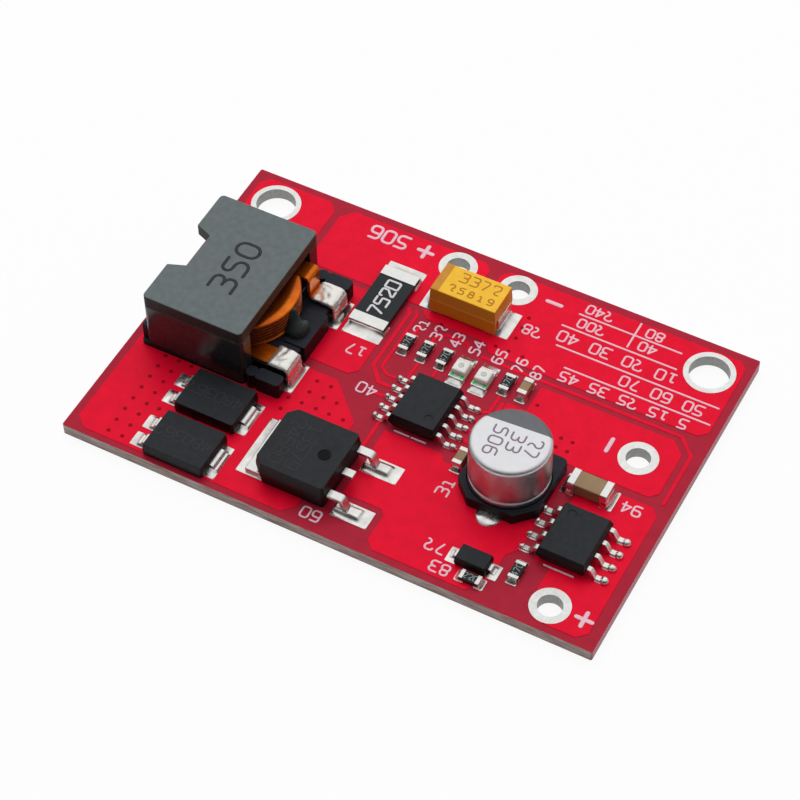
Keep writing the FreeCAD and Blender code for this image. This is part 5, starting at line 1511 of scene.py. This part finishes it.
# %% Floor
WHITE = (1.0, 1.0, 1.0, 1.0)


def mixed_shaders(builder, share, first, second, output):
    """Two shaders mixed by a share, as the tree's surface."""
    node = builder.add("ShaderNodeMixShader", Fac=share)
    builder.feed(first, node.inputs[1])
    builder.feed(second, node.inputs[2])
    builder.feed(node.outputs["Shader"], builder.tree.nodes[output].inputs["Surface"])


floor_mesh = bpy.data.meshes.new("floor")
floor_mesh.from_pydata([(-3, -3, 0), (3, -3, 0), (3, 3, 0), (-3, 3, 0)], [], [(0, 1, 2, 3)])
floor = add_object("floor", floor_mesh)
floor.location.z = -0.02 * MM
paper = Finish("floor_paper", (0.78, 0.78, 0.78), 0.9, specular=0.0)
glow = paper.add("ShaderNodeEmission", Strength=1.02)
rays = paper.add("ShaderNodeLightPath").outputs
white_rays = paper.math("MAXIMUM", rays["Is Camera Ray"], rays["Is Glossy Ray"])
white_rays = paper.math("MAXIMUM", white_rays, rays["Is Transmission Ray"])
seen_white = paper.math("MULTIPLY", white_rays, 0.90)
mixed_shaders(paper, seen_white, paper.shader.outputs["BSDF"], glow.outputs["Emission"], "Material Output")
floor_mesh.materials.append(paper.material)
print("floor ready")


# %% World
def soft_rise(builder, value, start, end, low, high):
    """A smooth rise from low to high while the value goes from start to end."""
    node = builder.add("ShaderNodeMapRange", Value=value, From_Min=start, From_Max=end,
                       To_Min=low, To_Max=high)
    node.interpolation_type = "SMOOTHSTEP"
    return node.outputs["Result"]


# the brightest part of the sky: high, and behind the board
SKY_MIDDLE = (-0.20, 0.50, 0.84)
world = bpy.data.worlds.new("studio")
scene.world = world
world.use_nodes = True
sky = NodeTree(world.node_tree)
toward = sky.along(sky.add("ShaderNodeTexCoord").outputs["Generated"], SKY_MIDDLE)
soft_light = sky.tree.nodes["Background"]
sky.feed(WHITE, soft_light.inputs["Color"])
sky.feed(soft_rise(sky, toward, -0.15, 0.85, 0.02, 0.84), soft_light.inputs["Strength"])
rays = sky.add("ShaderNodeLightPath").outputs
plain_white = sky.math("MAXIMUM", rays["Is Camera Ray"], rays["Is Transmission Ray"])
mirrored = soft_rise(sky, toward, 0.0, 0.95, 0.05, 1.0)
white_wall = sky.add("ShaderNodeBackground", Color=WHITE,
                     Strength=sky.math("MAXIMUM", plain_white, mirrored))
wall_rays = sky.math("MAXIMUM", plain_white, rays["Is Glossy Ray"])
mixed_shaders(sky, wall_rays, soft_light.outputs["Background"], white_wall.outputs["Background"],
              "World Output")
print("world ready")

# %% Key light
# a square area light that hangs over the back edge; metal mirrors the sky alone, not this light
KEY_PLACE, KEY_SIZE, KEY_POWER = (-0.16, 0.20, 0.50), 0.40, 1.10
key_data = bpy.data.lights.new("key_behind", "AREA")
key_data.shape = "SQUARE"
key_data.size = KEY_SIZE
key_data.energy = KEY_POWER
key = add_object("key_behind", key_data)
key.location = KEY_PLACE
key.rotation_euler = (-Vector(KEY_PLACE)).to_track_quat("-Z", "Y").to_euler()
key.visible_glossy = False
print("key light at", KEY_PLACE)

# %% [markdown]
# ## Camera
# A long lens looks down on the board from its front right corner, as in the photograph.

# %% Camera
LENS, CAMERA_PLACE = 116.71, (0.058377, -0.109461, 0.153320)
right = Vector((0.882676, 0.469918, -0.007730))
down = Vector((0.360921, -0.688290, -0.629280))
forward = Vector((-0.301031, 0.552660, -0.777141))
camera_data = bpy.data.cameras.new("camera")
camera_data.lens = LENS
camera_data.sensor_width = 36.0
camera_data.clip_start = 0.01
camera = add_object("camera", camera_data)
turned = Matrix((right, -down, -forward)).transposed().to_4x4()
camera.matrix_world = Matrix.Translation(CAMERA_PLACE) @ turned
scene.camera = camera
scene.view_settings.view_transform = "Standard"
print("camera lens", LENS)
